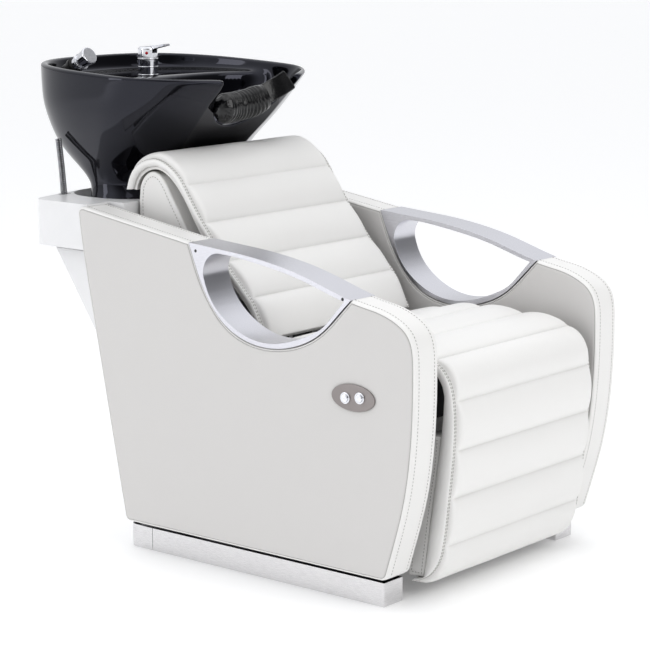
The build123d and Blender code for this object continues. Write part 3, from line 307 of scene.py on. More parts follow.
def braid():
    """Woven steel sleeve of a supply hose: two crossing sets of strands."""
    made = Shader("braid", rgb(205, 205, 208), 0.24, metallic=1.0)
    first = made.waves(150.0, "DIAGONAL", stretch=(1, 1, 1))
    second = made.waves(150.0, "DIAGONAL", stretch=(-1, -1, 1))
    both = made.tree.nodes.new("ShaderNodeMath")
    both.operation = "MULTIPLY"
    made.tree.links.new(first, both.inputs[0])
    made.tree.links.new(second, both.inputs[1])
    made.tint(both.outputs[0], rgb(118, 118, 122), rgb(228, 228, 231))
    made.bump(both.outputs[0], 0.0006, 0.8)
    return made.material


glaze = ceramic_glaze()
vinyl_black = gathered_vinyl()
wood_ply = plywood()
hose_braid = braid()

CARRIED = {
    paint_black: ("actuator_bracket", "backrest_rails", "base_frame", "basin_bracket",
                  "basin_pedestal", "leg_arms", "rear_frame", "seat_frame"),
    plastic_black: ("actuator_housing", "armrest_screws", "knee_roller", "mains_inlet",
                    "power_supply", "shower_holder"),
    shaft_steel: ("actuator_rod", "clevis_pin", "knee_shaft", "tilt_shafts", "waste_strainer"),
    vinyl_white: ("backrest_board", "seat_board"),
    wood_ply: ("backrest_core", "leg_board", "side_core_left", "side_core_right"),
    brass: ("knee_bushes", "mixer_nut"),
    chrome: ("hose_nuts",),
    plastic_grey: ("waste_fitting", "waste_pipe"),
    rubber_black: ("foot_pads", "waste_sleeve"),
}
for finish, names in CARRIED.items():
    for name in names:
        mesh = nodes[name].data
        mesh.materials.clear()
        mesh.materials.append(finish)


# ---- mesh helpers ------------------------------------------------------------------------
def smooth(mesh):
    for face in mesh.polygons:
        face.use_smooth = True


def add_piece(name, vertices, faces, material, body):
    mesh = bpy.data.meshes.new(name)
    mesh.from_pydata([tuple(v) for v in vertices], [], faces)
    mesh.validate()
    mesh.update()
    mesh.materials.append(material)
    smooth(mesh)
    made = link(bpy.data.objects.new(name, mesh))
    if body:
        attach(made, body)
    return made


def outward(obj):
    """Makes a closed mesh's normals point outwards."""
    shape = bmesh.new()
    shape.from_mesh(obj.data)
    bmesh.ops.recalc_face_normals(shape, faces=shape.faces)
    shape.to_mesh(obj.data)
    shape.free()


def apply_modifiers(obj):
    dg = bpy.context.evaluated_depsgraph_get()
    dg.update()
    baked = bpy.data.meshes.new_from_object(obj.evaluated_get(dg))
    obj.modifiers.clear()
    obj.data = baked


def subdivide(obj):
    step = obj.modifiers.new("subdivide", "SUBSURF")
    step.levels = step.render_levels = 1
    apply_modifiers(obj)
    smooth(obj.data)


def weigh_normals(obj):
    """Keeps large faces flat in shading, and leaves the bend to the narrow ones."""
    weigh = obj.modifiers.new("weigh", "WEIGHTED_NORMAL")
    weigh.weight = 100
    apply_modifiers(obj)


def tube_faces(rows, count, capped=True):
    """Faces between rows of count points each, closed round, and over both ends."""
    faces = []
    for r in range(rows - 1):
        for i in range(count):
            n = (i + 1) % count
            faces.append((r * count + i, r * count + n, (r + 1) * count + n, (r + 1) * count + i))
    if capped:
        faces.append(tuple(range(count)))
        last = (rows - 1) * count
        faces.append(tuple(range(last + count - 1, last - 1, -1)))
    return faces


def body_of_node(node):
    for body, names in frame["record"]["behaviour"]["bodies"].items():
        if node in names:
            return body
    return "root"


def refined(node, material, width, segments=3, angle=30):
    """The CAD node again with its edges rounded over, so that they catch the light."""
    mesh = nodes[node].data.copy()
    made = link(bpy.data.objects.new(f"{node}_finish", mesh))
    shape = bmesh.new()
    shape.from_mesh(mesh)
    bmesh.ops.remove_doubles(shape, verts=shape.verts, dist=1e-6)
    bmesh.ops.dissolve_limit(shape, angle_limit=math.radians(1.0), verts=shape.verts,
                             edges=shape.edges)
    shape.to_mesh(mesh)
    shape.free()
    smooth(mesh)
    round_off = made.modifiers.new("round", "BEVEL")
    round_off.width = width
    round_off.segments = segments
    round_off.limit_method = "ANGLE"
    round_off.angle_limit = math.radians(angle)
    round_off.harden_normals = False
    weigh = made.modifiers.new("weigh", "WEIGHTED_NORMAL")
    weigh.keep_sharp = True
    apply_modifiers(made)
    made.data.materials.clear()
    made.data.materials.append(material)
    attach(made, body_of_node(node))
    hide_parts(node)


def catmull(points, spacing):
    """Points along a smooth curve through the given ones, at about that spacing."""
    dense = []
    rows = [Vector(p) for p in points]
    rows = [2 * rows[0] - rows[1], *rows, 2 * rows[-1] - rows[-2]]
    for a, b, c, d in zip(rows, rows[1:], rows[2:], rows[3:]):
        t1 = (b - a).length ** 0.5
        t2 = t1 + (c - b).length ** 0.5
        t3 = t2 + (d - c).length ** 0.5
        for i in range(24):
            t = t1 + (t2 - t1) * i / 24
            ab = a.lerp(b, t / t1)
            bc = b.lerp(c, (t - t1) / (t2 - t1))
            cd = c.lerp(d, (t - t2) / (t3 - t2))
            dense.append(ab.lerp(bc, t / t2).lerp(bc.lerp(cd, (t - t1) / (t3 - t1)),
                                                  (t - t1) / (t2 - t1)))
    dense.append(rows[-2])
    return resample(dense, spacing)


def resample(points, spacing):
    lengths = [0.0]
    for a, b in zip(points, points[1:]):
        lengths.append(lengths[-1] + (b - a).length)
    count = max(2, round(lengths[-1] / spacing))
    out, k = [], 0
    for i in range(count + 1):
        goal = lengths[-1] * i / count
        while k < len(points) - 2 and lengths[k + 1] < goal:
            k += 1
        span = lengths[k + 1] - lengths[k]
        out.append(points[k].lerp(points[k + 1], (goal - lengths[k]) / span if span else 0))
    return out


def stitches(name, rows, body, length=0.0046, gap=0.0024, radius=0.0007):
    """Rows of raised thread stitches. A row is a list of (point, surface normal)."""
    vertices, faces = [], []
    for row in rows:
        points = [Vector(p) for p, _ in row]
        walk = 0.0
        for i in range(len(row) - 1):
            a, b = points[i], points[i + 1]
            run = (b - a).length
            if run < 1e-9:
                continue
            along = (b - a) / run
            while walk < run:
                normal = Vector(row[i][1]).lerp(Vector(row[i + 1][1]), walk / run).normalized()
                across = along.cross(normal).normalized()
                start = a + along * walk
                first = len(vertices)
                for reach, width, lift in ((0, 0.35, 0.1), (0.25, 1, 0.75), (0.75, 1, 0.75),
                                           (1, 0.35, 0.1)):
                    centre = start + along * (length * reach)
                    for side, rise in ((-1, 0), (-0.6, lift), (0.6, lift), (1, 0), (0, -0.8)):
                        vertices.append(centre + across * (side * radius * width)
                                        + normal * (rise * radius))
                for j in range(3):
                    for k in range(5):
                        n = first + 5 * j
                        faces.append((n + k, n + (k + 1) % 5, n + 5 + (k + 1) % 5, n + 5 + k))
                faces.append(tuple(first + k for k in range(4, -1, -1)))
                faces.append(tuple(first + 15 + k for k in range(5)))
                walk += length + gap
            walk -= run
    return add_piece(name, vertices, faces, thread, body)


# ---- quilted cushions --------------------------------------------------------------------
GRID = 0.0062
SEAM_SIDE = (0.0012, 0.0034)


def channel_stops(start, end):
    """Rows from one seam to the next: close together beside the seams, where the crease is."""
    inner = end - start - 2 * SEAM_SIDE[-1]
    count = max(2, round(inner / GRID))
    middle = [start + SEAM_SIDE[-1] + inner * i / count for i in range(count + 1)]
    return [start, start + SEAM_SIDE[0], *middle, end - SEAM_SIDE[0]]


def edge_fall(x, half, band, reach=0.011):
    """How much of the crown is left at x: 1 across the middle, 0 on the flat stitched band."""
    t = min(1.0, max(0.0, (half - band - abs(x)) / reach))
    return math.sqrt(1 - (1 - t) ** 2)


def along_line(points, run, s):
    """The point at arc length s of a line whose running lengths are given."""
    k = max(0, min(len(points) - 2, int(np.searchsorted(run, s)) - 1))
    span = run[k + 1] - run[k]
    return points[k].lerp(points[k + 1], min(1.0, max(0.0, (s - run[k]) / span)))


def running(points):
    out = [0.0]
    for a, b in zip(points, points[1:]):
        out.append(out[-1] + (b - a).length)
    return out


def quilt(name, crown, inner, seams, half, replaced, drop=0.014, puff=0.0100, band=0.0090,
          pressure=1.2):
    """Quilted cushion along a side profile: channels between pinned seams, swollen by pressure.

    crown and inner are matching (y, z) points; seams are points on the crown line.
    """
    dense = catmull([(0, y, z) for y, z in crown], 0.002)
    dense_run = running(dense)
    total = dense_run[-1]
    seam_runs = sorted(dense_run[min(range(len(dense)),
                                     key=lambda i: (dense[i] - Vector((0, y, z))).length)]
                       for y, z in seams)
    bounds = [0.0, *seam_runs, total]
    run, edges = [], []
    for start, end in zip(bounds, bounds[1:]):
        edges.append(len(run))
        run += channel_stops(start, end)
    edges.append(len(run))
    run.append(total)
    outer = [along_line(dense, dense_run, s) for s in run]
    crown_run = running([Vector((0, y, z)) for y, z in crown])
    inner_line = [Vector((0, y, z)) for y, z in inner]
    below = [along_line(inner_line, crown_run, s / total * crown_run[-1]) for s in run]
    close = [0.0, 0.0030, 0.0064, band, band + 0.0015, band + 0.004, band + 0.008]
    count = round(2 * (half - close[-1]) / GRID)
    middle = [-(half - close[-1]) + 2 * (half - close[-1]) * i / count for i in range(1, count)]
    xs = [-half + c for c in close] + middle + [half - c for c in close[::-1]]
    width = len(xs)
    normals = []
    for i, point in enumerate(outer):
        way = (outer[min(i + 1, len(outer) - 1)] - outer[max(i - 1, 0)]).normalized()
        normal = Vector((0, -way.z, way.y))
        if normal.dot(point - below[i]) < 0:
            normal.negate()
        normals.append(normal)

    def rise(i, x):
        """Height over the flat edge level: channels between seams, slightly puckered by them."""
        fall = edge_fall(x, half, band)
        k = max(n for n in range(len(edges) - 1) if edges[n] <= i)
        start, end = run[edges[k]], run[edges[k + 1]]
        u = (run[i] - start) / (end - start)
        swell = max(0.0, 1 - abs(2 * u - 1) ** 2.0) ** 0.72
        near = min(run[i] - start, end - run[i])
        pucker = 0.0009 * math.exp(-near / 0.011) * noise.noise(Vector((x * 62, k * 3.1, 0)))
        slow = 0.0011 * noise.noise(Vector((x * 9, run[i] * 14, 7)))
        return fall * (drop - puff + puff * swell + (pucker + slow) * swell)

    vertices, free = [], []
    for i, point in enumerate(outer):
        for x in xs:
            top = point + normals[i] * (rise(i, x) - drop)
            vertices.append(Vector((x, top.y, top.z)))
            free.append(half - band - 0.001 - abs(x) > 0 and i not in edges)
    top_count = len(vertices)
    side_rows = 3
    faces = []
    for i in range(len(outer) - 1):
        for j in range(width - 1):
            a = i * width + j
            faces.append((a, a + 1, a + width + 1, a + width))
    ring = ([(0, j) for j in range(width)] + [(i, width - 1) for i in range(1, len(outer))]
            + [(len(outer) - 1, j) for j in range(width - 2, -1, -1)]
            + [(i, 0) for i in range(len(outer) - 2, 0, -1)])
    loops = [[i * width + j for i, j in ring]]
    for step in range(1, side_rows + 1):
        t = step / side_rows
        loop = []
        for i, j in ring:
            lower = Vector((xs[j] * 0.985, below[i].y, below[i].z))
            mid = vertices[i * width + j].lerp(lower, t)
            if j in (0, width - 1):
                mid.x += math.copysign(0.003 * math.sin(math.pi * t), xs[j])
            loop.append(len(vertices))
            vertices.append(mid)
            free.append(False)
        loops.append(loop)
    for upper, lower in zip(loops, loops[1:]):
        for k in range(len(ring)):
            n = (k + 1) % len(ring)
            faces.append((upper[k], lower[k], lower[n], upper[n]))
    base = dict(zip(ring, loops[-1]))
    for i in range(len(outer)):
        for j in range(width):
            if (i, j) not in base:
                base[(i, j)] = len(vertices)
                vertices.append(Vector((xs[j] * 0.985, below[i].y, below[i].z)))
                free.append(False)
    for i in range(len(outer) - 1):
        for j in range(width - 1):
            faces.append((base[(i, j)], base[(i + 1, j)], base[(i + 1, j + 1)], base[(i, j + 1)]))
    made = add_piece(name, vertices, faces, vinyl_white, None)
    outward(made)
    inflate(made, free, pressure)
    points = [v.co.copy() for v in made.data.vertices[:top_count]]
    subdivide(made)

    def edge_rows(inset_by, lift=0.0004):
        j = max(k for k in range(len(close)) if close[k] <= inset_by)
        share = (inset_by - close[j]) / (close[j + 1] - close[j])
        out = []
        for a, b in ((j, j + 1), (width - 1 - j, width - 2 - j)):
            out.append([(points[i * width + a].lerp(points[i * width + b], share)
                         + normals[i] * lift, normals[i]) for i in range(len(outer))])
        return out

    sewn = stitches(f"{name}_stitches", edge_rows(0.0026) + edge_rows(0.0070), None)
    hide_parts(*replaced)
    return made, sewn


def inflate(obj, free, pressure, cap=0.0028):
    """Cloth step: free points swell under pressure, the rest stay pinned."""
    rest = [v.co.copy() for v in obj.data.vertices]
    pins = obj.vertex_groups.new(name="pins")
    pins.add([i for i, loose in enumerate(free) if not loose], 1.0, "REPLACE")
    cloth = obj.modifiers.new("cloth", "CLOTH")
    settings = cloth.settings
    settings.vertex_group_mass = "pins"
    settings.quality = 6
    settings.mass = 0.25
    settings.tension_stiffness = settings.compression_stiffness = 15
    settings.shear_stiffness = 8
    settings.bending_stiffness = 2.5
    settings.use_pressure = True
    settings.uniform_pressure_force = pressure
    settings.effector_weights.gravity = 0
    cloth.collision_settings.use_self_collision = False
    cloth.point_cache.frame_start = 1
    cloth.point_cache.frame_end = 20
    scene = bpy.context.scene
    for step in range(1, 21):
        scene.frame_set(step)
    dg = bpy.context.evaluated_depsgraph_get()
    baked = bpy.data.meshes.new_from_object(obj.evaluated_get(dg))
    obj.modifiers.clear()
    obj.vertex_groups.clear()
    moved = [v.co.copy() for v in baked.vertices]
    for vertex, start, end in zip(obj.data.vertices, rest, moved):
        shift = end - start
        if shift.length > cap:
            shift *= cap / shift.length
        vertex.co = start + shift
    obj.data.update()
    scene.frame_set(1)
    bpy.data.meshes.remove(baked)


def mm(*pairs):
    return [(y / 1000, z / 1000) for y, z in pairs]


seat_crown = mm((-113, 454), (-140, 460), (-206, 476), (-263, 486), (-315, 489), (-397, 487),
                (-462, 483), (-502, 475), (-530, 458), (-550, 430), (-559, 400), (-563, 354),
                (-562, 304), (-552, 205), (-541, 117), (-531, 78), (-507, 42), (-480, 25),
                (-459, 18))
seat_inner = mm((-113, 418), (-140, 417), (-206, 417), (-263, 417), (-315, 417), (-397, 417),
                (-462, 449), (-492, 444), (-508, 434), (-519, 418), (-524, 398), (-521, 352),
                (-516, 306), (-502, 205), (-490, 117), (-485, 76), (-480, 42), (-470, 40),
                (-462, 39))
seat_seams = mm((-200, 475), (-290, 488), (-393, 487), (-505, 473), (-553, 392), (-562, 297),
                (-552, 204), (-538, 110))
seat, seat_thread = quilt(
    "seat_leg_cushion", seat_crown, seat_inner, seat_seams, 0.2325,
    ("seat_pad", "knee_cushion", "leg_pad"))
for piece in (seat, seat_thread):
    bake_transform(piece)

back_crown = mm((-104.7, 460.4), (-86, 494), (-67.5, 528.4), (-40, 558), (-8.1, 589.9),
                (30, 635), (69.4, 683.2), (97, 721), (126.9, 762.9), (160, 788), (200, 801),
                (240, 793), (271.5, 772.4), (286, 750), (294.9, 724.3))
back_inner = mm((-80.6, 448.2), (-63, 480), (-46.2, 511.8), (-19, 541), (12.3, 572.2),
                (51, 619), (91, 667), (118, 705), (147.3, 745.2), (171, 765), (200, 774),
                (228, 769), (250.2, 755.8), (261, 740), (268.1, 721.4))
back_seams = mm((-59, 537), (4, 604), (63, 675), (115, 746))
backrest, back_thread = quilt(
    "back_cushion", back_crown, back_inner, back_seams, 0.2335, ("backrest_pad",), drop=0.013)
for piece in (backrest, back_thread):
    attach(piece, "root")


# ---- upholstered side panels -------------------------------------------------------------
def outline_of(node, x):
    """Longest boundary loop of a CAD node's flat face at that X, as (y, z) points in order."""
    shape = bmesh.new()
    shape.from_mesh(nodes[node].data)
    bmesh.ops.remove_doubles(shape, verts=shape.verts, dist=1e-5)
    flat = {f for f in shape.faces if all(abs(v.co.x - x) < 2e-5 for v in f.verts)}
    rim = {}
    for edge in shape.edges:
        if sum(f in flat for f in edge.link_faces) == 1:
            a, b = edge.verts
            rim.setdefault(a, []).append(b)
            rim.setdefault(b, []).append(a)
    loops, seen = [], set()
    for start in rim:
        if start in seen:
            continue
        loop, here, last = [], start, None
        while here is not None and here not in seen:
            seen.add(here)
            loop.append(Vector((here.co.y, here.co.z)))
            after = (n for n in rim[here] if n is not last and n not in seen)
            here, last = next(after, None), here
        loops.append(loop)
    shape.free()
    loop = max(loops, key=lambda pts: sum((a - b).length for a, b in zip(pts, pts[1:])))
    area = sum(a.x * b.y - b.x * a.y for a, b in zip(loop, loop[1:] + loop[:1]))
    return loop if area > 0 else loop[::-1]


def spaced(loop, spacing, keep=35):
    """Closed loop resampled evenly between its sharp corners."""
    count = len(loop)
    corners = []
    for i in range(count):
        a, b = loop[i] - loop[i - 1], loop[(i + 1) % count] - loop[i]
        if a.length > 1e-6 and b.length > 1e-6 and a.angle(b) > math.radians(keep):
            corners.append(i)
    corners = corners or [0]
    out = []
    for k, start in enumerate(corners):
        end = corners[(k + 1) % len(corners)]
        part = [loop[i % count] for i in range(start, end + (count if end <= start else 0) + 1)]
        out += resample(part, spacing)[:-1]
    return out


def inset(loop, amount):
    """The loop moved inwards by that amount, its corners mitred and never folded over."""
    count = len(loop)
    moved = []
    for i in range(count):
        a = (loop[i] - loop[i - 1]).normalized()
        b = (loop[(i + 1) % count] - loop[i]).normalized()
        na, nb = Vector((-a.y, a.x)), Vector((-b.y, b.x))
        mid = (na + nb).normalized()
        moved.append(loop[i] + mid * (amount / max(0.5, mid.dot(na))))
    if amount <= 0.0005:
        return moved
    starts = np.array([tuple(p) for p in loop])
    runs_of = np.roll(starts, -1, axis=0) - starts
    squares = (runs_of ** 2).sum(axis=1)
    keep = []
    for i, spot in enumerate(moved):
        away = np.array(tuple(spot)) - starts
        t = np.clip((away * runs_of).sum(axis=1) / squares, 0, 1)
        if np.hypot(*(away - runs_of * t[:, None]).T).min() > amount * 0.97:
            keep.append(i)
    for a, b in zip(keep, keep[1:] + keep[:1]):
        steps = (b - a) % count
        for k in range(1, steps):
            moved[(a + k) % count] = moved[a].lerp(moved[b], k / steps)
    return moved


SEAM_ROW = 4        # where the outer face's vinyl meets the edge strip
PLINTH_TOP = 0.064  # the panel's lower edge isn't stitched


def side_panel(side):
    """Foam and vinyl over a side panel: rounded edges, a sewn edge seam and its topstitching."""
    word = "left" if side < 0 else "right"
    node = f"side_cover_{word}"
    low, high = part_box(node)
    outer_x, inner_x = (low.x, high.x) if side < 0 else (high.x, low.x)
    loop = spaced(outline_of(node, outer_x), 0.006)
    across = inner_x - outer_x
    way = math.copysign(1, across)
    # how far in from the outline, and how far across the panel's thickness, with its seams
    section = [(0.0130, 0.0000), (0.0085, 0.0001), (0.0066, 0.0006), (0.0057, 0.0014),
               (0.0052, 0.0026), (0.0047, 0.0016), (0.0040, 0.0010), (0.0025, 0.0020),
               (0.0011, 0.0036), (0.0003, 0.0060), (0.0, 0.0090), (0.0, 0.0200)]
    depth = abs(across)
    rows = section + [(a, depth - b) for a, b in section[::-1]]
    vertices = [(outer_x + way * reach, point.x, point.y)
                for amount, reach in rows for point in inset(loop, amount)]
    count = len(loop)
    faces = tube_faces(len(rows), count)
    made = add_piece(f"side_panel_{word}", vertices, faces, vinyl_side_shaded, "root")
    made.data.materials.append(vinyl_white)
    # The outer faces take the darker side vinyl, which is painted shade; the edge strip takes the
    # white vinyl.
    strip = range(SEAM_ROW, len(rows) - 1 - SEAM_ROW)
    for face in made.data.polygons[:(len(rows) - 1) * count]:
        face.material_index = int(face.index // count in strip)
    outward(made)
    weigh_normals(made)
    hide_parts(node)
    sewn = []
    for base, sign in ((outer_x, 1), (inner_x, -1)):
        ring = inset(loop, -0.0002)
        ring = [Vector((base + sign * way * 0.0135, p.x, p.y)) for p in ring]
        outside = inset(loop, -0.01)
        row = []
        for i in list(range(count)) + [0]:
            normal = Vector((0, outside[i].x - loop[i].x, outside[i].y - loop[i].y)).normalized()
            row.append((ring[i], normal))
        sewn.append([spot for spot in row if spot[0].z > PLINTH_TOP])
    stitches(f"side_panel_{word}_stitches", [part for row in sewn for part in runs(row)], "root",
             length=0.0042, gap=0.0026, radius=0.0006)


def runs(row, jump=0.03):
    """The row split where it jumps."""
    parts, here = [], [row[0]]
    for last, spot in zip(row, row[1:]):
        if (Vector(spot[0]) - Vector(last[0])).length > jump:
            parts.append(here)
            here = []
        here.append(spot)
    return [p for p in parts + [here] if len(p) > 1]


for hand in (-1, 1):
    side_panel(hand)


# ---- small upholstered boxes -------------------------------------------------------------
def padded_profile(name, node, seam, round_over=0.004):
    """A box of constant side profile, upholstered: rounded ends with a sewn edge."""
    low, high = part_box(node)
    loop = spaced(outline_of(node, low.x), 0.006)
    width = high.x - low.x
    quarter = [(round_over * (1 - math.sin(a)), round_over * (1 - math.cos(a)))
               for a in (math.radians(d) for d in (0, 18, 36, 54, 72, 90))]
    section = [(0.0065, 0.0)] + quarter + [(0.0, round_over + 0.012)]
    rows = section + [(a, width - b) for a, b in section[::-1]]
    vertices = [(low.x + reach, point.x, point.y)
                for amount, reach in rows for point in inset(loop, amount)]
    faces = tube_faces(len(rows), len(loop))
    made = add_piece(name, vertices, faces, vinyl_white, body_of_node(node))
    outward(made)
    weigh_normals(made)
    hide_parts(node)
    sewn = []
    for x, sign in ((low.x, -1), (high.x, 1)):
        row = [(Vector((x + sign * 0.0002, p.x, p.y)), Vector((sign, 0, 0)))
               for p in inset(loop, seam)]
        sewn.append(row + row[:1])
    stitches(f"{name}_stitches", sewn, body_of_node(node), radius=0.0006)


padded_profile("hump_cover", "backrest_cover", 0.011)
padded_profile("leg_box_cover", "leg_cover", 0.008)


def lathe(name, origin, axis, profile, material, body, around=64):
    """Solid of revolution; the profile is (distance along the axis, radius) points."""
    axis = Vector(axis).normalized()
    side = axis.orthogonal().normalized()
    other = axis.cross(side)
    vertices = []
    for along, radius in profile:
        for j in range(around):
            a = 2 * math.pi * j / around
            vertices.append(Vector(origin) + axis * along
                            + (side * math.cos(a) + other * math.sin(a)) * radius)
    made = add_piece(name, vertices, tube_faces(len(profile), around), material, body)
    outward(made)


def bead(low, high, radius, rise):
    """Profile of a half-round ring standing on a cylinder of that radius."""
    half = (high - low) / 2
    arc = [(low + half - half * math.cos(a), radius + rise * math.sin(a))
           for a in (math.pi * i / 8 for i in range(9))]
    return [(low, radius - 0.001), *arc, (high, radius - 0.001)]


MIXER_SPIGOT, MIXER_HEIGHT = 0.0068, 0.040      # inside the cap, and from the deck to the cap
HAND_TILT, HAND_RADIUS = math.radians(28), 0.020


def mixer_details():
    """Half-round rings on the mixer's body, and the hot mark on the front of its cap."""
    low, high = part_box("mixer_cap")
    radius = (high.x - low.x) / 2
    centre = Vector((0, (low.y + high.y) / 2, 0))
    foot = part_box("mixer_body")[1].z - MIXER_SPIGOT - MIXER_HEIGHT
    for k, share in enumerate((0.06, 0.5, 0.94)):
        lathe(f"mixer_ring_{k + 1}", centre + Vector((0, 0, foot + 0.0385 * share)), (0, 0, 1),
              bead(-0.0014, 0.0014, radius, 0.0007), chrome, "basin")
    lathe("mixer_hot_mark", centre + Vector((0, 0, low.z + 0.009)), (-0.80, -0.60, 0),
          [(radius - 0.001, 0.0034), (radius + 0.0004, 0.0034), (radius + 0.0010, 0.0026),
           (radius + 0.0012, 0.0010)], dot_red, "mixer_cap_body", 24)


def handset_details():
    """Black collar, chrome rings and black spray face of the hand shower, along its axis."""
    low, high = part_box("hand_shower")
    axis = Vector((0, -math.cos(HAND_TILT), math.sin(HAND_TILT)))
    middle = (low.x + high.x) / 2
    face = Vector((middle, low.y + HAND_RADIUS * math.sin(HAND_TILT),
                   high.z - HAND_RADIUS * math.cos(HAND_TILT)))
    lathe("hand_shower_collar", face, axis,
          [(-0.0530, 0.0140), (-0.0525, 0.0158), (-0.0470, 0.0163), (-0.0440, 0.0166),
           (-0.0436, 0.0150)], rubber_black, "hand_shower_body")
    for k, reach in enumerate((-0.0330, -0.0300, -0.0270)):
        lathe(f"hand_shower_ring_{k + 1}", face + axis * reach, axis,
              bead(-0.0009, 0.0009, 0.0170 + 0.0003 * k, 0.0007), chrome, "hand_shower_body")
    lathe("hand_shower_face", face, axis,
          [(-0.0010, 0.0160), (0.0002, 0.0160), (0.0007, 0.0152), (0.0009, 0.0080),
           (0.0004, 0.0020)], plastic_black, "hand_shower_body")


# ---- hard pieces with their edges rounded ------------------------------------------------
for side in ("left", "right"):
    refined(f"armrest_{side}", arm_aluminium, 0.0012)
    refined(f"plinth_{side}", plinth_steel, 0.0004)
    refined(f"plinth_end_{side}", plinth_steel, 0.0004)
refined("rear_cover", shell_white, 0.0050, segments=4, angle=50)
refined("rear_housing", shell_white, 0.0015)
refined("rear_panel_lower", shell_white, 0.0010)
refined("control_plate", plate_taupe, 0.0004)
refined("button_bezels", chrome, 0.0003)
refined("button_up", chrome, 0.0004)
refined("button_down", chrome, 0.0004)
refined("mixer_body", chrome, 0.0008)
refined("mixer_cap", chrome, 0.0010)
mixer_details()
refined("mixer_lever", chrome, 0.0015, segments=4)
refined("hand_shower", chrome, 0.0008)
handset_details()


# ---- basin -------------------------------------------------------------------------------
# z, front edge, half width of the front edge, greatest half width, its y, back edge; in mm
SHELL = ((976, 75, 116, 266, 300, 621), (930, 119, 119, 264, 317, 617),
         (885, 163, 119, 260, 335, 610), (846, 200, 114, 247, 353, 599),
         (808, 238, 106, 229, 372, 584), (780, 265, 102, 215, 382, 562),
         (756, 288, 100, 203, 388, 532), (735, 304, 101, 197, 390, 499),
         (716, 311, 104, 196, 390, 474), (700, 304, 106, 200, 388, 467),
         (684, 292, 108, 206, 387, 465))
BOWL = ((976, 92, 106, 250, 270, 400), (880, 184, 104, 236, 300, 398),
        (803, 270, 60, 150, 325, 394))
WALL = 15.0
DECK = 932.0
FOOT_Z, BOWL_Z, DRAIN_Z = 684, 803, 790
LIP = 6
NOTCH_HALF, NOTCH_TOP, NOTCH_DEPTH = 118, 956, 114
BOWL_HOLE, DRAIN_HOLE = 20, 17
WASTE = Vector((0, 345.0))


def section_at(rows, z):
    """Parameters of the section at that height, smoothly between the given ones."""
    rows = sorted(rows)
    heights = [row[0] for row in rows]
    z = min(max(z, heights[0]), heights[-1])
    k = max(i for i in range(len(rows) - 1) if heights[i] <= z)
    a, b = rows[k], rows[k + 1]
    before, after = rows[max(k - 1, 0)], rows[min(k + 2, len(rows) - 1)]
    t = (z - a[0]) / (b[0] - a[0])
    out = []
    for i in range(1, 6):
        m1 = (b[i] - before[i]) / (b[0] - before[0]) * (b[0] - a[0])
        m2 = (after[i] - a[i]) / (after[0] - a[0]) * (b[0] - a[0])
        out.append((2 * t ** 3 - 3 * t * t + 1) * a[i] + (t ** 3 - 2 * t * t + t) * m1
                   + (3 * t * t - 2 * t ** 3) * b[i] + (t ** 3 - t * t) * m2)
    return out


def half_curve(front, front_half, half, widest, back):
    """Half outline from the front corner round to the middle of the back, finely sampled."""
    flank = [(front_half + (half - front_half) * (1 - (1 - t) ** 2.4), front + (widest - front) * t)
             for t in (i / 40 for i in range(40))]
    rear = []
    for i in range(61):
        a = math.pi / 2 * i / 60
        x = half * math.cos(a) ** (2 / 2.9)
        y = widest + (back - widest) * math.sin(a) ** (2 / 2.9)
        rear.append((x, y))
    return [Vector(p) for p in flank + rear]


FRONT_COLUMNS, FLANK_COLUMNS = 28, 54


def ring_at(rows, z, grow=0.0):
    """Points round a section: across the front from right to left, then round by the back."""
    front, front_half, half, widest, back = section_at(rows, z)
    front, front_half, half, back = front - grow, front_half + grow / 2, half + grow, back + grow
    right = resample(half_curve(front, front_half, half, widest, back), 1.0)
    total = len(right) - 1
    side = [right[round(total * (i / FLANK_COLUMNS))] for i in range(FLANK_COLUMNS + 1)]
    across = [Vector((front_half * math.cos(math.pi * i / FRONT_COLUMNS), front))
              for i in range(1, FRONT_COLUMNS)]
    left = [Vector((-p.x, p.y)) for p in side]
    # start at the right front corner, go over the front to the left corner, then round
    return [side[0]] + across + left[:-1] + [side[-1]] + side[-2:0:-1]


def rim_height(y):
    return 945 + 0.0446 * (y - 104)


def notch_height(x):
    """Top of the front wall inside the neck notch."""
    if abs(x) >= NOTCH_HALF:
        return NOTCH_TOP
    return NOTCH_TOP - NOTCH_DEPTH * math.sqrt(1 - (x / NOTCH_HALF) ** 2)


def reach_to(ring, centre, toward):
    """Distance from the centre to a closed outline in that direction."""
    best = 0.0
    for a, b in zip(ring, ring[1:] + ring[:1]):
        e = b - a
        cross = toward.x * e.y - toward.y * e.x
        if abs(cross) < 1e-9:
            continue
        w = a - centre
        t = (w.x * e.y - w.y * e.x) / cross
        s = (w.x * toward.y - w.y * toward.x) / cross
        if t > 0 and -1e-6 <= s <= 1 + 1e-6:
            best = max(best, t)
    return best


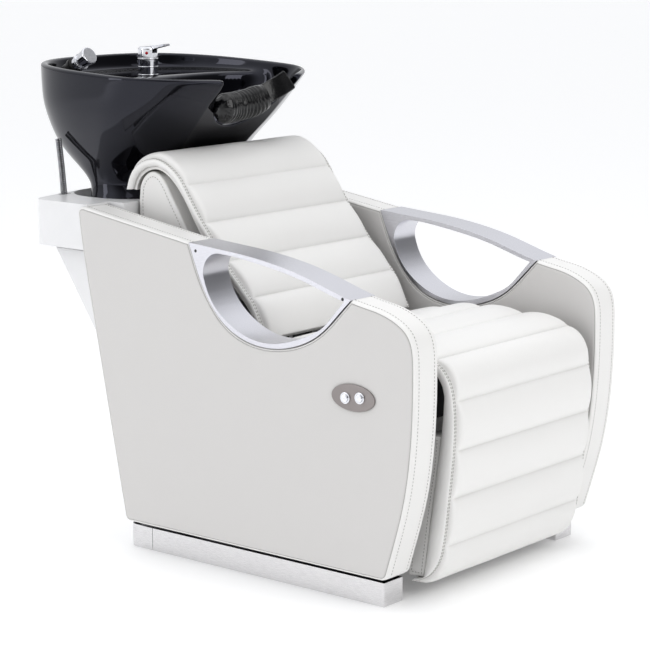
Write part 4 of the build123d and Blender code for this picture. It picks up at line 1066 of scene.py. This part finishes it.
def basin_mesh():
    """Ceramic bowl: outer wall, rounded lip, deck behind the bowl, bowl and drain, in one skin."""
    top_ring = ring_at(SHELL, 950)
    columns = len(top_ring)
    tops = []
    for i, p in enumerate(top_ring):
        z = rim_height(p.y)
        if 0 < i < FRONT_COLUMNS:
            z = min(z, notch_height(p.x))
        tops.append(z)
    for _ in range(2):
        tops = [(tops[i - 1] + 2 * tops[i] + tops[(i + 1) % columns]) / 4 for i in range(columns)]
    levels = 34
    cache = {}

    def shell_point(i, z, grow=0.0):
        key = (round(z, 1), grow)
        if key not in cache:
            cache[key] = ring_at(SHELL, z, grow)
        return cache[key][i]

    bowl_rings = {z: ring_at(BOWL, z) for z in range(BOWL_Z, 977, 4)}
    wall_rings = {z: ring_at(SHELL, z, -WALL) for z in range(BOWL_Z, 977, 4)}

    def inner_reach(z, direction):
        """How far the inner surface is from the waste at that height: bowl wall or deck recess."""
        level = min(bowl_rings, key=lambda h: abs(h - z))
        bowl_reach = reach_to(bowl_rings[level], WASTE, direction)
        if z > DECK:
            return max(bowl_reach, reach_to(wall_rings[level], WASTE, direction))
        return bowl_reach

    rows = []
    for k in range(levels + 1):
        row = []
        for i in range(columns):
            z = FOOT_Z + (tops[i] - LIP - FOOT_Z) * (k / levels)
            p = shell_point(i, z)
            row.append(Vector((p.x, p.y, z)))
        rows.append(row)
    inner_columns = []
    for i in range(columns):
        edge = rows[-1][i]
        direction = (Vector((edge.x, edge.y)) - WASTE).normalized()
        rim = tops[i] - LIP
        if tops[i] > DECK + 14:
            heights = [rim - (rim - DECK) * t for t in (0, 0.35, 0.7)]
            profile = [(inner_reach(max(z, DECK + 1), direction), z) for z in heights]
            deck_reach = inner_reach(DECK + 2, direction)
            bowl_reach = inner_reach(DECK - 2, direction)
            profile += [(deck_reach + (bowl_reach - deck_reach) * t, DECK)
                        for t in (0.0, 0.2, 0.4, 0.6, 0.8, 1.0)]
            start = DECK
        else:
            profile = [(inner_reach(rim, direction), rim)] * 9
            start = rim
        for k in range(1, 15):
            z = start + (BOWL_Z + 3 - start) * k / 14
            profile.append((inner_reach(z, direction), z))
        last = profile[-1][0]
        for t in (0.85, 0.68, 0.5, 0.32, 0.16):
            profile.append((BOWL_HOLE + (last - BOWL_HOLE) * t, BOWL_Z + 1.5 * t))
        profile.append((BOWL_HOLE, BOWL_Z))
        line = [Vector(p) for p in profile]
        line = resample(line, sum((a - b).length for a, b in zip(line, line[1:])) / 44)
        for _ in range(3):
            line = [line[0]] + [(line[j - 1] + 2 * line[j] + line[j + 1]) / 4
                                for j in range(1, len(line) - 1)] + [line[-1]]
        inner_columns.append([Vector((WASTE.x + direction.x * r, WASTE.y + direction.y * r, z))
                              for r, z in line])
    lip = []
    for k in range(1, 7):
        t = k / 7
        row = []
        for i in range(columns):
            a, b = rows[levels][i], inner_columns[i][0]
            mid = a.lerp(b, (1 - math.cos(math.pi * t)) / 2)
            mid.z += LIP * math.sin(math.pi * t)
            row.append(mid)
        lip.append(row)
    rows += lip
    for k in range(len(inner_columns[0])):
        rows.append([column[k] for column in inner_columns])
    ways = [(p.to_2d() - WASTE).normalized() for p in rows[-1]]
    rows.append([Vector((WASTE.x + DRAIN_HOLE * w.x, WASTE.y + DRAIN_HOLE * w.y, DRAIN_Z))
                 for w in ways])
    under = [[Vector((p.x, p.y, z)) for p in ring_at(SHELL, z, -WALL)] for z in (FOOT_Z, 740)]
    rows = under[::-1] + rows
    for _ in range(2):
        for r in range(2, levels + 3):
            row = rows[r]
            rows[r] = [(row[i - 1] + 4 * row[i] + row[(i + 1) % columns]) / 6
                       for i in range(columns)]
    vertices = [p / 1000 for row in rows for p in row]
    faces = tube_faces(len(rows), columns, capped=False)
    made = add_piece("basin_shell", vertices, faces, glaze, "basin")
    outward(made)
    subdivide(made)
    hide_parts("basin_bowl")


basin_mesh()


# ---- neck rest ---------------------------------------------------------------------------
def neck_rest():
    """Gathered roll in the notch, and the flat strap that holds it at the far horn."""
    spine = catmull(((-0.092, 0.148, 0.883), (-0.060, 0.158, 0.882), (-0.020, 0.164, 0.883),
                     (0.020, 0.163, 0.888), (0.052, 0.156, 0.898)), 0.0008)
    turns, around = len(spine) - 1, 72
    vertices = []
    for i, point in enumerate(spine):
        t = i / turns
        axis = (spine[min(i + 1, turns)] - spine[max(i - 1, 0)]).normalized()
        up = (Vector((0, 0, 1)) - axis * axis.z).normalized()
        side = axis.cross(up)
        reach = (point - spine[0]).length
        swell = math.sqrt(max(0.0, 1 - (1 - min(1.0, reach / 0.020)) ** 2))
        close = 1 - 0.16 * max(0.0, (t - 0.82) / 0.18) ** 2
        tuft = math.exp(-((reach - 0.006) / 0.006) ** 2)
        for j in range(around):
            turn = 2 * math.pi * j / around
            spot = side * math.cos(turn) + up * math.sin(turn)
            drift = 1.4 * noise.noise(Vector((t * 6, math.cos(turn) * 0.8, math.sin(turn) * 0.8)))
            wave = 0.5 + 0.5 * math.sin(2 * math.pi * 13 * t + 2.2 * drift)
            deep = 0.0034 * max(0.0, math.sin(math.pi * min(1, t * 1.02))) ** 0.5
            fold = 0.0016 * tuft * math.sin(9 * turn + 2 * drift)
            soft = 0.0009 * noise.noise(point * 60 + spot)
            radius = (1 - deep / 0.027 * (1 - wave) ** 1.8) * max(0.05, swell) * close
            vertices.append(point + (side * math.cos(turn) * 0.0255 + up * math.sin(turn) * 0.0315)
                            * radius + spot * (fold + soft) * swell)
    roll = add_piece("neck_roll", vertices, tube_faces(turns + 1, around), vinyl_black, "basin")
    outward(roll)

    route = catmull(((0.044, 0.160, 0.897), (0.066, 0.152, 0.908), (0.086, 0.138, 0.921),
                     (0.099, 0.124, 0.934)), 0.003)
    wide = Vector((0, 0.25, 0.97)).normalized()
    section = [(x * 0.022, y * 0.0035) for x, y in
               ((-1, 0.4), (-0.96, 0.85), (-0.88, 1.0), (-0.80, 0.86), (-0.5, 1.0), (0, 1.05),
                (0.5, 1.0), (0.80, 0.86), (0.88, 1.0), (0.96, 0.85), (1, 0.4), (1, -0.4),
                (0.9, -1), (0, -1), (-0.9, -1), (-1, -0.4))]
    vertices = []
    for i, point in enumerate(route):
        axis = (route[min(i + 1, len(route) - 1)] - route[max(i - 1, 0)]).normalized()
        across = (wide - axis * wide.dot(axis)).normalized()
        out = axis.cross(across)
        out = -out if out.x > 0 else out
        for a, b in section:
            vertices.append(point + across * a + out * b)
    faces = tube_faces(len(route), len(section))
    strap = add_piece("neck_strap", vertices, faces, vinyl_black, "basin")
    outward(strap)
    subdivide(strap)
    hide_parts("neck_rest")
    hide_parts("neck_rest")


neck_rest()


# ---- supply hoses ------------------------------------------------------------------------
HOSE_MIDDLE = -0.234
HOSE_POINTS = ((0.478, 0.812, 0.0040), (0.471, 0.765, 0.0041), (0.466, 0.715, 0.0043),
               (0.462, 0.668, 0.0055), (0.456, 0.634, 0.0085))
for label, side in (("hot", -1), ("cold", 1)):
    curve = bpy.data.curves.new(f"supply_hose_{label}", "CURVE")
    curve.dimensions = "3D"
    curve.bevel_depth = 0.0036
    curve.bevel_resolution = 5
    curve.resolution_u = 24
    spline = curve.splines.new("NURBS")
    spline.points.add(len(HOSE_POINTS) - 1)
    for point, (y, z, spread) in zip(spline.points, HOSE_POINTS):
        point.co = (HOSE_MIDDLE + side * spread, y, z, 1)
    spline.order_u = 3
    spline.use_endpoint_u = True
    curve.materials.append(hose_braid)
    hose = link(bpy.data.objects.new(f"supply_hose_{label}", curve))
    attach(hose, "basin")
    y, z, spread = HOSE_POINTS[0]
    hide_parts("supply_hoses")

# ---- floor -------------------------------------------------------------------------------
FLOOR = 90
floor_mesh = bpy.data.meshes.new("floor")
floor_mesh.from_pydata([(-FLOOR, -FLOOR, 0), (FLOOR, -FLOOR, 0), (FLOOR, FLOOR, 0),
                        (-FLOOR, FLOOR, 0)], [], [(0, 1, 2, 3)])
floor_white = plain("floor_white", rgb(248, 248, 248), rgb(251, 251, 251), 0.6, scale=30.0,
                    distance=0.0)
floor_glow = floor_white.node_tree.nodes["Principled BSDF"].inputs
floor_glow["Emission Color"].default_value = (1, 1, 1, 1)
floor_glow["Emission Strength"].default_value = 0.16
floor_mesh.materials.append(floor_white)
floor = link(bpy.data.objects.new("floor", floor_mesh))
